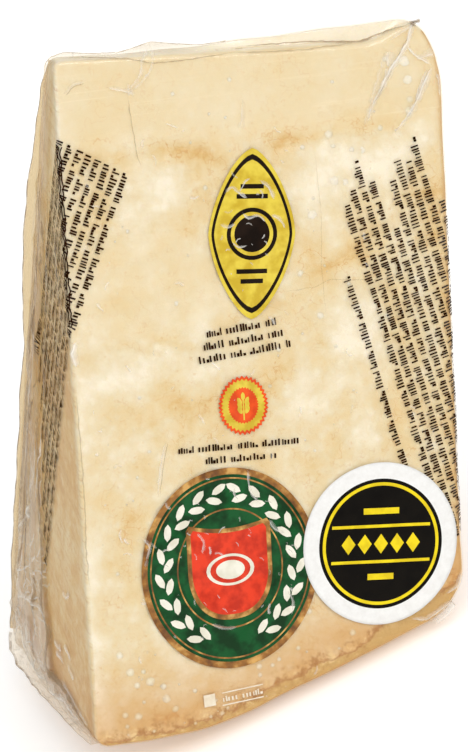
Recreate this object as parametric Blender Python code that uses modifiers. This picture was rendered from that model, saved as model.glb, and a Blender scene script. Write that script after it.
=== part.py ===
"""A wedge of hard grana cheese, shrink wrapped in clear printed film, with a round paper label.

The wedge is half as wide as its wheel is high. Two split faces meet near the wheel's axis, a
third cut crosses the wheel at mid height on the left, the wheel's flat plate is on the right,
and the wheel's bulging side, the rind, is below.

It is drawn upright: x runs from the mid height cut to the plate, y from the printed face to the
back, and z from the rind up to the tip. It is then leaned until the straight part of its rind
lies level, which is how it stands, on a small flat.
"""

import math

import bmesh
import bpy
from mathutils import Matrix, Vector, noise

# The wheel that the wedge was cut from, in metres.
WHEEL_RADIUS = 0.2090
HALF_ANGLE = math.radians(12.5)
WIDTH = 0.1150
FACE_LENGTH = 0.1954
APEX_HEIGHT = WHEEL_RADIUS * math.cos(HALF_ANGLE)

# The rind is level near mid height, then runs straight towards the plate like a cone.
RIND_SLOPE = 0.345
RIND_BEND_AT = 0.035
RIND_BEND_SOFTNESS = 0.012

# The tip rises towards the plate, steadily at the back and only near the corner in front.
TIP_RISE = 0.0070
TIP_FRONT_RISES = (0.78, 0.96)
TIP_BACK_RISES = (0.22, 0.96)

EDGE_RADIUS = 0.0038
LEFT_CORNER_RADIUS = 0.0025
TIP_CORNER_RADIUS = 0.0060
PLATE_CORNER_RADIUS = 0.0085
TIP_EDGE_SHARE = 0.8

# The rough part of each face, where the cheese split. Towards the tip a knife left it smooth.
CRAG_HEIGHT = 0.0020
CRAG_SIZE = 0.022
GRAIN_HEIGHT = 0.0007
GRAIN_SIZE = 0.009
CRAG_STARTS = (0.012, 0.050)
CRAG_ENDS = (0.164, 0.176)
CRAG_MARGIN = 0.014
KNIFE_STEP = 0.0009

# How the wedge rests.
LEAN = math.atan(RIND_SLOPE)
FLAT_DEPTH = 0.0016
FLOOR_CUTTER = 0.3

# The film stands up in thin fins where the shrunken bag has spare corners. A fin's width here is
# how far it reaches beyond the cheese.
FIN_THICKNESS = 0.0009
FIN_ROOT = 0.003
SEAM_WIDTH = 0.0018
SEAM_BULGE = 0.0017
SEAM_BULGE_AT = 0.27
SEAM_BULGE_LENGTH = 0.22
SEAM_STEPS = 14
FOOT_WIDTH = 0.0058
FOOT_STEPS = 8
EAR_STEPS = 8

# The paper label lies on the film and bends round the start of the edge beside it.
LABEL_RADIUS = 0.0241
LABEL_THICKNESS = 0.0004
LABEL_GAP = 0.0004
LABEL_X = 0.0896
LABEL_UP = 0.0498
LABEL_FLAT = 0.010
LABEL_BEND = math.radians(36)
LABEL_RINGS = 8
LABEL_SIDES = 48

# Where the cube is cut before its points move: across, front to back, and rind to tip.
WIDTH_CUTS = 26
LENGTH_CUTS = 40
BAND_STARTS = 0.70
BAND_CUTS = 3
SIDE_CUTS = 6

COLLECTION = "packed_cheese_wedge"
PACK = "sealed_wedge"
LABEL = "round_label"


def clear_scene():
    for obj in list(bpy.data.objects):
        bpy.data.objects.remove(obj, do_unlink=True)


def make_collection(name):
    collection = bpy.data.collections.new(name)
    bpy.context.scene.collection.children.link(collection)
    return collection


def make_material(name, colour, roughness):
    material = bpy.data.materials.new(name)
    material.use_nodes = True
    shader = material.node_tree.nodes["Principled BSDF"]
    shader.inputs["Base Color"].default_value = (*colour, 1.0)
    shader.inputs["Roughness"].default_value = roughness
    shader.inputs["Metallic"].default_value = 0.0
    material.diffuse_color = (*colour, 1.0)
    return material


def make_object(name, mesh_data, collection, material=None):
    mesh = bpy.data.meshes.new(name)
    mesh_data.to_mesh(mesh)
    mesh_data.free()
    obj = bpy.data.objects.new(name, mesh)
    if material:
        mesh.materials.append(material)
    collection.objects.link(obj)
    return obj


def smooth(low, high, value):
    """0 below low, 1 above high, and an S curve between."""
    share = min(max((value - low) / (high - low), 0.0), 1.0)
    return share * share * (3 - 2 * share)


def rind_rise(x):
    """How far the rind lies inside the wheel's largest radius, x from the mid height cut."""

    def ramp(distance):
        return RIND_SLOPE * (distance + math.hypot(distance, RIND_BEND_SOFTNESS)) / 2

    return ramp(x - RIND_BEND_AT) - ramp(-RIND_BEND_AT)


def tip_rise(x, depth):
    """How far the tip stands above its lowest point; depth is -1 on the printed face, 1 at the back."""
    across = x / WIDTH
    front = smooth(*TIP_FRONT_RISES, across)
    back = min(max((across - TIP_BACK_RISES[0]) / (TIP_BACK_RISES[1] - TIP_BACK_RISES[0]), 0.0), 1.0)
    share = (depth + 1) / 2
    return TIP_RISE * (front + (back - front) * share)


def edge_radius(radius):
    """The rounding of a long edge, smaller where the wedge thins out towards its tip."""
    return min(EDGE_RADIUS, TIP_EDGE_SHARE * radius * math.sin(HALF_ANGLE))


def wheel_radius_at(x, along, depth):
    """Distance from the wheel's axis, where along runs from 0 at the rind to FACE_LENGTH at the tip."""
    rind = WHEEL_RADIUS - rind_rise(x)
    tip = WHEEL_RADIUS - FACE_LENGTH - tip_rise(x, depth)
    return rind + (tip - rind) * along / FACE_LENGTH


def crag(x, up, depth):
    """Height of a split face's relief, which fades out at its margins and under the label."""
    place = Vector((x, up, 0.3 * depth))
    waves = CRAG_HEIGHT * noise.noise(place / CRAG_SIZE) + GRAIN_HEIGHT * noise.noise(place / GRAIN_SIZE)
    rough = smooth(*CRAG_STARTS, up) * (1 - smooth(*CRAG_ENDS, up))
    fade = smooth(0.0, CRAG_MARGIN, x) * smooth(0.0, CRAG_MARGIN, WIDTH - x)
    if depth < 0:
        reach = math.hypot(x - LABEL_X, up - LABEL_UP)
        fade *= smooth(LABEL_RADIUS + LABEL_FLAT / 2, LABEL_RADIUS + LABEL_FLAT, reach)
    return (waves - KNIFE_STEP) * rough * fade


def face_point(x, up, depth, height):
    """A point over the printed face (depth -1) or the back face (depth 1), height outside it.

    up is the distance on the face from the rind at mid height, towards the tip.
    """
    radius = WHEEL_RADIUS - up
    turn = depth * HALF_ANGLE
    point = Vector((x, radius * math.sin(turn), APEX_HEIGHT - radius * math.cos(turn)))
    outward = Vector((0.0, depth * math.cos(HALF_ANGLE), math.sin(HALF_ANGLE)))
    return point + outward * height


def outline(a, c, inset):
    """(x, along) in the face's rounded outline drawn in by inset, for a and c from -1 to 1."""
    reach = max(abs(a), abs(c))
    if reach == 0:
        return WIDTH / 2, FACE_LENGTH / 2
    half = Vector((WIDTH / 2 - inset, FACE_LENGTH / 2 - inset))
    right_corner = PLATE_CORNER_RADIUS if c < 0 else TIP_CORNER_RADIUS
    corner = max((right_corner if a > 0 else LEFT_CORNER_RADIUS) - inset, 0.0)
    edge = Vector((a / reach * half.x, c / reach * half.y))
    inner = Vector(
        (
            min(max(edge.x, corner - half.x), half.x - corner),
            min(max(edge.y, corner - half.y), half.y - corner),
        )
    )
    offset = edge - inner
    if corner and offset.length > 0:
        edge = inner + offset.normalized() * corner
    return WIDTH / 2 + edge.x * reach, FACE_LENGTH / 2 + edge.y * reach


def wedge_point(a, b, c):
    """Where a point of the cut cube goes: a across, b front to back, c rind to tip, each -1 to 1."""
    band = max((abs(b) - BAND_STARTS) / (1 - BAND_STARTS), 0.0)
    angle = band * math.pi / 2
    x, along = outline(a, c, 0.0)
    rounding = edge_radius(wheel_radius_at(x, along, b))
    x, along = outline(a, c, rounding * (1 - math.cos(angle)))
    depth = max(-1.0, min(1.0, b / BAND_STARTS))
    radius = wheel_radius_at(x, along, depth)
    sunk = rounding * (1 - math.sin(angle))
    turn = depth * (HALF_ANGLE - sunk / radius)
    point = Vector((x, radius * math.sin(turn), APEX_HEIGHT - radius * math.cos(turn)))
    if abs(b) == 1:
        outward = Vector((0.0, b * math.cos(HALF_ANGLE), math.sin(HALF_ANGLE)))
        point += outward * crag(x, WHEEL_RADIUS - radius, b)
    return point


def even_cuts(count, low=-1.0, high=1.0):
    return [low + (high - low) * (i + 1) / (count + 1) for i in range(count)]


def make_wedge(collection, material):
    """A cube cut into a grid, with each point then moved to its place on the wedge."""
    mesh = bmesh.new()
    bmesh.ops.create_cube(mesh, size=2.0)
    band = even_cuts(BAND_CUTS - 1, BAND_STARTS, 1.0) + [BAND_STARTS]
    depth_cuts = sorted([-stop for stop in band] + even_cuts(SIDE_CUTS, -BAND_STARTS, BAND_STARTS) + band)
    for axis, cuts in enumerate((even_cuts(WIDTH_CUTS), depth_cuts, even_cuts(LENGTH_CUTS))):
        for stop in cuts:
            everything = mesh.verts[:] + mesh.edges[:] + mesh.faces[:]
            where = Vector((0.0, 0.0, 0.0))
            where[axis] = stop
            facing = Vector((0.0, 0.0, 0.0))
            facing[axis] = 1.0
            bmesh.ops.bisect_plane(mesh, geom=everything, plane_co=where, plane_no=facing, dist=1e-5)
    for vert in mesh.verts:
        vert.co = wedge_point(*(round(value, 5) for value in vert.co))
    bmesh.ops.triangulate(mesh, faces=mesh.faces[:])
    bmesh.ops.recalc_face_normals(mesh, faces=mesh.faces[:])
    return make_object(PACK, mesh, collection, material)


def make_fin(name, steps, root, rim, collection):
    """A thin plate of film between two lines, root(t) inside the wedge and rim(t) outside it."""
    mesh = bmesh.new()
    bmesh.ops.create_grid(mesh, x_segments=steps, y_segments=1, size=1.0)
    for vert in mesh.verts:
        share = (vert.co.x + 1) / 2
        vert.co = root(share) if vert.co.y < 0 else rim(share)
    fin = make_object(name, mesh, collection)
    plate = fin.modifiers.new("thickness", "SOLIDIFY")
    plate.thickness = FIN_THICKNESS
    plate.offset = 0.0
    return fin


def rind_point(x, turn, out):
    """A point over the rind at an angle about the wheel's axis, out beyond its surface."""
    radius = WHEEL_RADIUS - rind_rise(max(x, 0.0)) + out
    return Vector((x, radius * math.sin(turn), APEX_HEIGHT - radius * math.cos(turn)))


def make_seam(collection):
    """The fin of film down the edge between the back and the mid height cut, from tip to rind."""

    def width(share):
        bulge = 1 - smooth(0.0, SEAM_BULGE_LENGTH, abs(share - SEAM_BULGE_AT))
        return SEAM_WIDTH * smooth(0.0, 0.06, share) + SEAM_BULGE * bulge

    def edge(share, outward, sunk):
        return face_point(-outward, FACE_LENGTH * (1 - share), 1.0, -sunk)

    def root(share):
        return edge(0.02 + 0.97 * share, -FIN_ROOT, EDGE_RADIUS * min(1.0, 0.3 + share))

    def rim(share):
        return edge(0.01 + 0.99 * share, width(share), EDGE_RADIUS * (0.1 + 0.4 * share))

    return make_fin("seam_fin", SEAM_STEPS, root, rim, collection)


def make_foot(collection):
    """The spare corner of the bag where the seam meets the rind, which narrows towards the front."""

    def turn(share):
        return HALF_ANGLE * (0.93 - 1.15 * share)

    def width(share):
        return FOOT_WIDTH * smooth(-0.08, 0.06, share) * (1 - 0.9 * smooth(0.05, 1.0, share))

    def root(share):
        return rind_point(FIN_ROOT, turn(share), -FIN_ROOT)

    def rim(share):
        out = 0.75 * width(share)
        return rind_point(-out, turn(share), out)

    return make_fin("foot_fin", FOOT_STEPS, root, rim, collection)


def make_ear(name, start, end, peak, height, collection):
    """A fold of spare film that stands on the tip from start to end, highest at peak."""

    def crest(share):
        top = (peak - start) / (end - start)
        return share / top if share < top else (1 - share) / (1 - top)

    def at(share, lift):
        x = start + (end - start) * share
        point = face_point(max(x, LEFT_CORNER_RADIUS), FACE_LENGTH, 0.2, 0.0)
        point.x = x
        point.z += lift
        return point

    def root(share):
        return at(share, -FIN_ROOT)

    def rim(share):
        return at(share, height * crest(share) - 0.4 * FIN_ROOT * (1 - crest(share)))

    return make_fin(name, EAR_STEPS, root, rim, collection)


def join(body, others):
    """One Boolean union of the body with the pieces in a collection, which is then removed."""
    union = body.modifiers.new("film", "BOOLEAN")
    union.operation = "UNION"
    union.operand_type = "COLLECTION"
    union.collection = others
    union.solver = "EXACT"
    apply_modifiers(body)
    for obj in list(others.objects):
        bpy.data.objects.remove(obj, do_unlink=True)
    bpy.data.collections.remove(others)


def apply_modifiers(obj):
    bpy.context.view_layer.update()
    evaluated = obj.evaluated_get(bpy.context.evaluated_depsgraph_get())
    mesh = bpy.data.meshes.new_from_object(evaluated)
    obj.modifiers.clear()
    obj.data = mesh


def make_label(collection, material):
    """A paper disc that follows the printed face and the start of the rounded edge beside it."""
    mesh = bmesh.new()
    bmesh.ops.create_circle(mesh, segments=LABEL_SIDES, radius=LABEL_RADIUS, cap_ends=True)
    for ring in range(1, LABEL_RINGS):
        rim = [face for face in mesh.faces if len(face.verts) == LABEL_SIDES]
        step = LABEL_RADIUS / LABEL_RINGS
        bmesh.ops.inset_region(mesh, faces=rim, thickness=step, use_boundary=True)
    middle = [face for face in mesh.faces if len(face.verts) == LABEL_SIDES]
    bmesh.ops.poke(mesh, faces=middle)
    for vert in mesh.verts:
        x = LABEL_X + vert.co.x
        level = WIDTH - EDGE_RADIUS
        turn = max(x - level, 0.0) / (LABEL_X + LABEL_RADIUS - level) * LABEL_BEND
        drop = EDGE_RADIUS * (1 - math.cos(turn))
        side = min(x, level) + EDGE_RADIUS * math.sin(turn)
        vert.co = face_point(side, LABEL_UP + vert.co.y, -1.0, LABEL_GAP - drop)
    label = make_object(LABEL, mesh, collection, material)
    paper = label.modifiers.new("paper", "SOLIDIFY")
    paper.thickness = LABEL_THICKNESS
    paper.offset = 1.0
    return label


def rest(wedge, others):
    """Leans everything, centres the wedge over the origin and sinks it by the depth of its flat."""
    turn = Matrix.Rotation(LEAN, 4, "Y")
    points = [turn @ vert.co for vert in wedge.data.vertices]
    low = Vector([min(point[axis] for point in points) for axis in range(3)])
    high = Vector([max(point[axis] for point in points) for axis in range(3)])
    move = Vector((-(low.x + high.x) / 2, -(low.y + high.y) / 2, -low.z - FLAT_DEPTH))
    for obj in [wedge, *others]:
        obj.matrix_world = Matrix.Translation(move) @ turn


def cut_flat(wedge, collection):
    """Takes off what lies below the floor, which leaves the small flat that the wedge rests on."""
    mesh = bmesh.new()
    bmesh.ops.create_cube(mesh, size=FLOOR_CUTTER)
    cutter = make_object("floor_cutter", mesh, collection)
    cutter.location = (0.0, 0.0, -FLOOR_CUTTER / 2)
    cutter.hide_render = True
    cutter.display_type = "WIRE"
    flat = wedge.modifiers.new("flat", "BOOLEAN")
    flat.operation = "DIFFERENCE"
    flat.object = cutter
    flat.solver = "EXACT"


def main():
    clear_scene()
    parts = make_collection(COLLECTION)
    cutters = make_collection("cutters")
    film_pieces = make_collection("film_pieces")
    film = make_material("wrapped_cheese", (0.80, 0.62, 0.34), 0.3)
    paper = make_material("label_paper", (0.90, 0.90, 0.88), 0.5)
    wedge = make_wedge(parts, film)
    make_seam(film_pieces)
    make_foot(film_pieces)
    make_ear("peak_ear", 0.0175, 0.0430, 0.0285, 0.0042, film_pieces)
    make_ear("corner_ear", -0.0015, 0.0175, 0.0040, 0.0027, film_pieces)
    join(wedge, film_pieces)
    label = make_label(parts, paper)
    rest(wedge, [label])
    cut_flat(wedge, cutters)


main()
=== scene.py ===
import math
import random

import bmesh
import bpy
from mathutils import Matrix, Vector, noise
from mathutils.bvhtree import BVHTree


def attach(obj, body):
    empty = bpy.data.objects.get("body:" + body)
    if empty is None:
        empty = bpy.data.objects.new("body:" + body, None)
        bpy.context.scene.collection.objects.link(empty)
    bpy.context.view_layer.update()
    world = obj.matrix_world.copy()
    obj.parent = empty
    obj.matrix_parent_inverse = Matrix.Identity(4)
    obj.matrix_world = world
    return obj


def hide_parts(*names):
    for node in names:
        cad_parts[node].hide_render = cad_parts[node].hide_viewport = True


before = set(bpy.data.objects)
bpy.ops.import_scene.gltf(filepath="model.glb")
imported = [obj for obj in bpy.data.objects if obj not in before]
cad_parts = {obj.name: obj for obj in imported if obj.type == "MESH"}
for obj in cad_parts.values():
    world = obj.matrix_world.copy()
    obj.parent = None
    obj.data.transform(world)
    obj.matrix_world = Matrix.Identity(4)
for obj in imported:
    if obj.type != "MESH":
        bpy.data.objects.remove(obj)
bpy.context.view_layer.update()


# ----------------------------------------
# Camera: a long lens a little to the left of the printed face and above it, rolled by the angle
# at which the wedge leans, so that the wedge looks upright.
CAMERA_AIM = Vector((-0.00626, -0.02799, 0.09758))
CAMERA_DISTANCE = 0.84298
CAMERA_AZIMUTH = math.radians(-11.377)
CAMERA_ELEVATION = math.radians(25.033)
CAMERA_ROLL = math.radians(18.921)

look = Vector((-math.sin(CAMERA_AZIMUTH) * math.cos(CAMERA_ELEVATION),
               math.cos(CAMERA_AZIMUTH) * math.cos(CAMERA_ELEVATION), -math.sin(CAMERA_ELEVATION)))
level_right = Vector((math.cos(CAMERA_AZIMUTH), math.sin(CAMERA_AZIMUTH), 0.0))
level_up = level_right.cross(look)
camera_right = level_right * math.cos(CAMERA_ROLL) - level_up * math.sin(CAMERA_ROLL)
camera_up = level_up * math.cos(CAMERA_ROLL) + level_right * math.sin(CAMERA_ROLL)
camera = bpy.data.objects.new("camera", bpy.data.cameras.new("camera"))
camera.data.lens = 143.617
camera.data.sensor_width = 36.0
camera.data.clip_start = 0.05
camera.data.clip_end = 20.0
turned = Matrix((camera_right, camera_up, -look)).transposed().to_4x4()
camera.matrix_world = Matrix.Translation(CAMERA_AIM - look * CAMERA_DISTANCE) @ turned
bpy.context.scene.collection.objects.link(camera)
bpy.context.scene.camera = camera


# ----------------------------------------
# Studio: a white floor under an even white sky, a broad soft sun in front and above, and weaker
# soft lamps in front, on the left and behind. The sliced end on the left stays a little darker.
def linear(code):
    """An sRGB hex colour as linear red, green, blue and alpha."""
    channels = [int(code[i : i + 2], 16) / 255 for i in (1, 3, 5)]
    return (*[c / 12.92 if c <= 0.04045 else ((c + 0.055) / 1.055) ** 2.4 for c in channels], 1.0)


def add(tree, kind, sockets=(), **settings):
    """Adds one node with its settings, its constants and its links, and returns it. Sockets are
    given by name, or as a tuple from the first one on; stops are those of a colour ramp."""
    made = tree.nodes.new("ShaderNode" + kind)
    for name, value in settings.items():
        if name == "stops":
            while len(made.color_ramp.elements) < len(value):
                made.color_ramp.elements.new(0.5)
            for element, (place, colour) in zip(made.color_ramp.elements, value):
                element.position = place
                element.color = linear(colour)
        else:
            setattr(made, name, value)
    for name, value in sockets.items() if isinstance(sockets, dict) else enumerate(sockets):
        if isinstance(value, bpy.types.Node):
            value = next(output for output in value.outputs if output.enabled)
        if isinstance(value, bpy.types.NodeSocket):
            tree.links.new(value, made.inputs[name])
        else:
            made.inputs[name].default_value = value
    return made


def new_material(name):
    """A material with an empty node tree, and that tree."""
    made = bpy.data.materials.new(name)
    made.use_nodes = True
    made.node_tree.nodes.clear()
    return made, made.node_tree


def keep(name, mesh_data, materials, smooth=True):
    """Turns a bmesh into an object of that name with those materials, shaded smooth or flat."""
    for face in mesh_data.faces:
        face.smooth = smooth
    mesh = bpy.data.meshes.new(name)
    mesh_data.to_mesh(mesh)
    mesh_data.free()
    for material in materials:
        mesh.materials.append(material)
    made = bpy.data.objects.new(name, mesh)
    bpy.context.scene.collection.objects.link(made)
    return made


def soft_lamp(name, direction, distance, size, watts):
    """A square area lamp of that size, distance away from the wedge's middle and turned to it."""
    lamp = bpy.data.objects.new(name, bpy.data.lights.new(name, "AREA"))
    lamp.data.size = size
    lamp.data.energy = watts
    towards = Vector(direction).normalized()
    lamp.location = WEDGE_MIDDLE + towards * distance
    lamp.rotation_euler = towards.to_track_quat("Z", "Y").to_euler()
    bpy.context.scene.collection.objects.link(lamp)


WEDGE_MIDDLE = Vector((0.0, 0.0, 0.09))
soft_lamp("front_softbox", (0.45, -0.95, 0.70), 1.10, 0.30, 1.6)
soft_lamp("left_softbox", (-1.0, -0.30, 0.60), 1.20, 0.22, 0.9)
soft_lamp("back_softbox", (0.25, 1.0, 0.45), 1.20, 0.50, 1.6)

daylight = bpy.data.objects.new("even_key", bpy.data.lights.new("even_key", "SUN"))
daylight.data.energy = 1.35
daylight.data.angle = math.radians(70)
daylight.rotation_euler = Vector((0.08, -0.85, 0.95)).to_track_quat("Z", "Y").to_euler()
bpy.context.scene.collection.objects.link(daylight)

sky = bpy.data.worlds.new("white_sky")
sky.use_nodes = True
sky.node_tree.nodes["Background"].inputs["Color"].default_value = (1.0, 1.0, 1.0, 1.0)
sky.node_tree.nodes["Background"].inputs["Strength"].default_value = 0.50
bpy.context.scene.world = sky
bpy.context.scene.view_settings.view_transform = "Standard"

# Matt white paper that gives off a little light, so that the floor meets the sky without an edge.
sweep_material, tree = new_material("white studio paper")
paper = add(
    tree, "BsdfPrincipled", {"Base Color": linear("#fbfbfa"), "Roughness": 0.9,
                             "Emission Color": linear("#ffffff"), "Emission Strength": 0.24}
)
add(tree, "OutputMaterial", (paper,))
# The floor lies a little lower than the wedge, so that no two faces share a plane.
FLOOR_SIZE, FLOOR_DROP = 20.0, 0.0002
mesh = bmesh.new()
bmesh.ops.create_grid(mesh, x_segments=8, y_segments=8, size=FLOOR_SIZE)
bmesh.ops.translate(mesh, verts=mesh.verts, vec=(0.0, 0.0, -FLOOR_DROP))
sweep = keep("studio_floor", mesh, [sweep_material])


# ----------------------------------------
# The cheese: a wedge of a 42 cm wheel of hard grana, half as wide as the wheel is high. The two
# large faces were split open with a short blade, so they are lumpy below a smooth band where the
# knife went in. The left end was sliced, and the wheel's rind is below and on the right.
WHEEL_RADIUS = 0.2090
HALF_ANGLE = math.radians(12.5)
WIDTH = 0.1150
FACE_LENGTH = 0.1954
APEX_HEIGHT = WHEEL_RADIUS * math.cos(HALF_ANGLE)
RIND_SLOPE = 0.345
RIND_BEND_AT = 0.035
RIND_BEND_SOFTNESS = 0.012
TIP_RISE = 0.0056
FRONT_LIFT = 0.0016
LEFT_EDGE_RADIUS = 0.0010
EDGE_RADIUS = 0.0038
# The roundings of the face's corners, each the lower one and the upper one.
LEFT_CORNERS, RIGHT_CORNERS = (0.0045, 0.0025), (0.0125, 0.0135)
# From the upright frame that most functions work in to the leaned pose, for points and directions.
PLACE = Matrix.Translation((-0.08268, 0.0, 0.01459)) @ Matrix.Rotation(math.atan(RIND_SLOPE), 4, "Y")
TURN = Matrix.Rotation(math.atan(RIND_SLOPE), 3, "Y")
ACROSS_CUTS, DEPTH_CUTS, UP_CUTS = 95, 72, 162
EDGE_STRIPS = 4
# How far up the faces the smooth band that the blade left begins.
KNIFE_BAND = 0.168

# Pale lumps and tan hollows of the printed face, in millimetres: across, up, half width, half
# height and how much paler or darker. They stand out or lie back by up to a millimetre. The tan
# of the hollows is partly painted shade, most below the knife band and along the right edge. The
# pale ones at 1 or 2 mm across are a strip of crumbled paste along the sliced end's edge, partly a
# painted highlight of that edge.
LUMPS = (
    (27, 155, 10, 11, 0.38), (33, 163, 7, 4, 0.2), (88, 161, 17, 8, 0.48), (105, 167, 7, 5, 0.26),
    (8, 117, 8, 5, 0.3), (74, 149, 7, 9, 0.3), (96, 149, 3, 9, 0.25), (27, 108, 13, 6, 0.34),
    (8, 105, 9, 6, 0.3), (41, 106, 5, 6, 0.12), (84, 114, 9, 9, 0.42), (91, 105, 4, 7, 0.22),
    (70, 94, 9, 6, 0.36), (80, 99, 10, 4, 0.26), (87, 83, 7, 4, 0.3), (103, 127, 5, 5, 0.28),
    (52, 108, 5, 5, 0.2), (14, 90, 9, 5, 0.1), (66, 83, 5, 4, 0.12), (1, 50, 5, 24, 0.34),
    (1, 22, 5, 16, 0.34), (1, 92, 3, 20, 0.16), (2, 160, 4, 28, 0.2), (37, 120, 3, 3, 0.18),
    (60, 155, 5, 5, 0.12), (12, 31, 8, 8, 0.06), (50, 180, 12, 6, 0.06),
)
HOLLOWS_AND_SHADE = (
    (34, 169, 9, 3, 0.42), (43, 165, 5, 4, 0.3), (69, 170, 9, 3, 0.3), (12, 170, 6, 3, 0.2),
    (92, 173, 8, 3, 0.2), (76, 136, 9, 4, 0.42), (66, 143, 4, 5, 0.18), (88, 138, 6, 5, 0.26),
    (20, 115, 18, 2, 0.24), (36, 97, 7, 3, 0.26), (41, 92, 6, 4, 0.2), (80, 92, 3, 3, 0.2),
    (98, 118, 5, 10, 0.18), (117, 105, 5, 62, 0.5), (115, 38, 5, 14, 0.5), (13, 62, 5, 7, 0.26),
    (11, 44, 6, 6, 0.14), (62, 104, 5, 5, 0.14), (76, 83, 4, 3, 0.16), (56, 96, 4, 6, 0.16),
    (20, 8, 14, 3, 0.3), (9, 152, 5, 4, 0.1), (22, 138, 6, 3, 0.05), (60, 128, 5, 6, 0.12),
    (98, 88, 5, 7, 0.16), (108, 152, 4, 12, 0.2),
)
RIND_LAYER = (
    (0, 3), (20, 3.4), (51, 5.4), (68, 6), (82, 4.9), (89, 9.4), (109, 10.2), (115, 10.5),
)


def smooth(low, high, value):
    """0 below low, 1 above high, and an S curve between."""
    share = min(max((value - low) / (high - low), 0.0), 1.0)
    return share * share * (3 - 2 * share)


def rind_rise(x):
    """How far the rind lies inside the wheel's largest radius, x from the mid height cut."""

    def ramp(distance):
        return RIND_SLOPE * (distance + math.hypot(distance, RIND_BEND_SOFTNESS)) / 2

    return ramp(x - RIND_BEND_AT) - ramp(-RIND_BEND_AT)


def tip_rise(x, depth):
    """How far the tip stands above its lowest point; depth is -1 on the printed face, 1 at the back."""
    front = smooth(0.78, 0.96, x / WIDTH)
    back = min(max((x / WIDTH - 0.22) / 0.74, 0.0), 1.0)
    return TIP_RISE * (front + (back - front) * (depth + 1) / 2)


def wheel_radius_at(x, along, depth):
    """Distance from the wheel's axis, where along runs from 0 at the rind to FACE_LENGTH at the tip."""
    rind = WHEEL_RADIUS - rind_rise(x) - FRONT_LIFT * smooth(0.1, -1.0, depth)
    tip = WHEEL_RADIUS - FACE_LENGTH - tip_rise(x, depth)
    return rind + (tip - rind) * along / FACE_LENGTH


def edge_radius(x, radius):
    """The rounding of a long edge, sharper beside the sliced end and where the wedge thins out."""
    rounding = LEFT_EDGE_RADIUS + (EDGE_RADIUS - LEFT_EDGE_RADIUS) * smooth(0.0, WIDTH, x)
    return min(rounding, 0.8 * radius * math.sin(HALF_ANGLE))


def face_point(x, up, depth, height):
    """A point over the printed face (depth -1) or the back face (depth 1), height outside it."""
    radius = WHEEL_RADIUS - up
    turn = depth * HALF_ANGLE
    point = Vector((x, radius * math.sin(turn), APEX_HEIGHT - radius * math.cos(turn)))
    return point + face_outward(depth) * height


def face_outward(depth):
    """The direction straight out of the printed face (depth -1) or the back (depth 1)."""
    return Vector((0.0, depth * math.cos(HALF_ANGLE), math.sin(HALF_ANGLE)))


def outline(a, c, inset):
    """(x, along) in the face's rounded outline drawn in by inset, for a and c from -1 to 1."""
    reach = max(abs(a), abs(c))
    if reach == 0:
        return WIDTH / 2, FACE_LENGTH / 2
    half = Vector((WIDTH / 2 - inset, FACE_LENGTH / 2 - inset))
    corner = max((LEFT_CORNERS if a < 0 else RIGHT_CORNERS)[c >= 0] - inset, 0.0)
    edge = Vector((a / reach * half.x, c / reach * half.y))
    inner = Vector((min(max(edge.x, corner - half.x), half.x - corner),
                    min(max(edge.y, corner - half.y), half.y - corner)))
    offset = edge - inner
    if corner and offset.length > 0:
        edge = inner + offset.normalized() * corner
    x, along = WIDTH / 2 + edge.x * reach, FACE_LENGTH / 2 + edge.y * reach
    # The film pulled the upper right corner in a little as it shrank.
    pinch = 0.0019 * smooth(0.092, WIDTH, x) * (1 - smooth(0.0, 0.015, abs(along - 0.1885)))
    return x - pinch, along


def wedge_point(a, b, c, band_starts):
    """Where a point of the cut cube goes: a across, b front to back, c rind to tip, each -1 to 1."""
    angle = max((abs(b) - band_starts) / (1 - band_starts), 0.0) * math.pi / 2
    x, along = outline(a, c, 0.0)
    rounding = edge_radius(x, wheel_radius_at(x, along, b))
    x, along = outline(a, c, rounding * (1 - math.cos(angle)))
    depth = max(-1.0, min(1.0, b / band_starts))
    radius = wheel_radius_at(x, along, depth)
    turn = depth * (HALF_ANGLE - rounding * (1 - math.sin(angle)) / radius)
    return Vector((x, radius * math.sin(turn), APEX_HEIGHT - radius * math.cos(turn)))


def behind_face(point):
    """How far a point lies behind the printed face, and how far up along it."""
    from_rind = point - face_point(0.0, 0.0, -1.0, 0.0)
    along = Vector((0.0, math.sin(HALF_ANGLE), math.cos(HALF_ANGLE)))
    return -from_rind.dot(face_outward(-1.0)), from_rind.dot(along)


def waves(point, size, seed=0.0):
    """Smooth noise from about -1 to 1 with waves of that size in metres."""
    return 1.6 * noise.noise(point / size + Vector((seed, 0.37 * seed, -seed)))


def paleness(x, up, depth):
    """How pale the cheese is, 0 tan to 1 cream, over the printed face or, from noise alone, the back."""
    spot = Vector((x, up, 0.1 * depth))
    if depth > 0:
        broad = 0.58 + 0.13 * waves(spot, 0.024, 3.0) + 0.13 * waves(spot, 0.011, 5.0)
        return broad + 0.08 * waves(spot, 0.005, 23.0)
    across = 1000 * x + 2.6 * waves(spot, 0.012, 1.0) + 1.0 * waves(spot, 0.005, 6.0)
    height = 1000 * up + 2.6 * waves(spot, 0.012, 2.0) + 1.0 * waves(spot, 0.005, 7.0)
    value = 0.53 + 0.06 * waves(spot, 0.018, 4.0) + 0.05 * knife_marks(x, up, depth)
    value += 0.09 * waves(spot, 0.007, 22.0) * smooth(0.175, 0.166, up)
    for sign, marks in ((1, LUMPS), (-1, HOLLOWS_AND_SHADE)):
        for middle_x, middle_up, half_x, half_up, amount in marks:
            reach = ((across - middle_x) / half_x) ** 2 + ((height - middle_up) / half_up) ** 2
            if reach < 8:
                value += sign * amount * math.exp(-reach)
    return value


def roughness_of_split(x, up):
    """1 where a face was split, 0 in the smooth band that the knife cut and close to the edges."""
    uneven = up + 0.0012 * waves(Vector((x, 0.0, 0.0)), 0.02)
    below_knife = 1 - smooth(KNIFE_BAND, KNIFE_BAND + 0.0065, uneven)
    return smooth(0.012, 0.050, up) * below_knife * smooth(0.0, 0.010, x) * smooth(0.0, 0.012, WIDTH - x)


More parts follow.
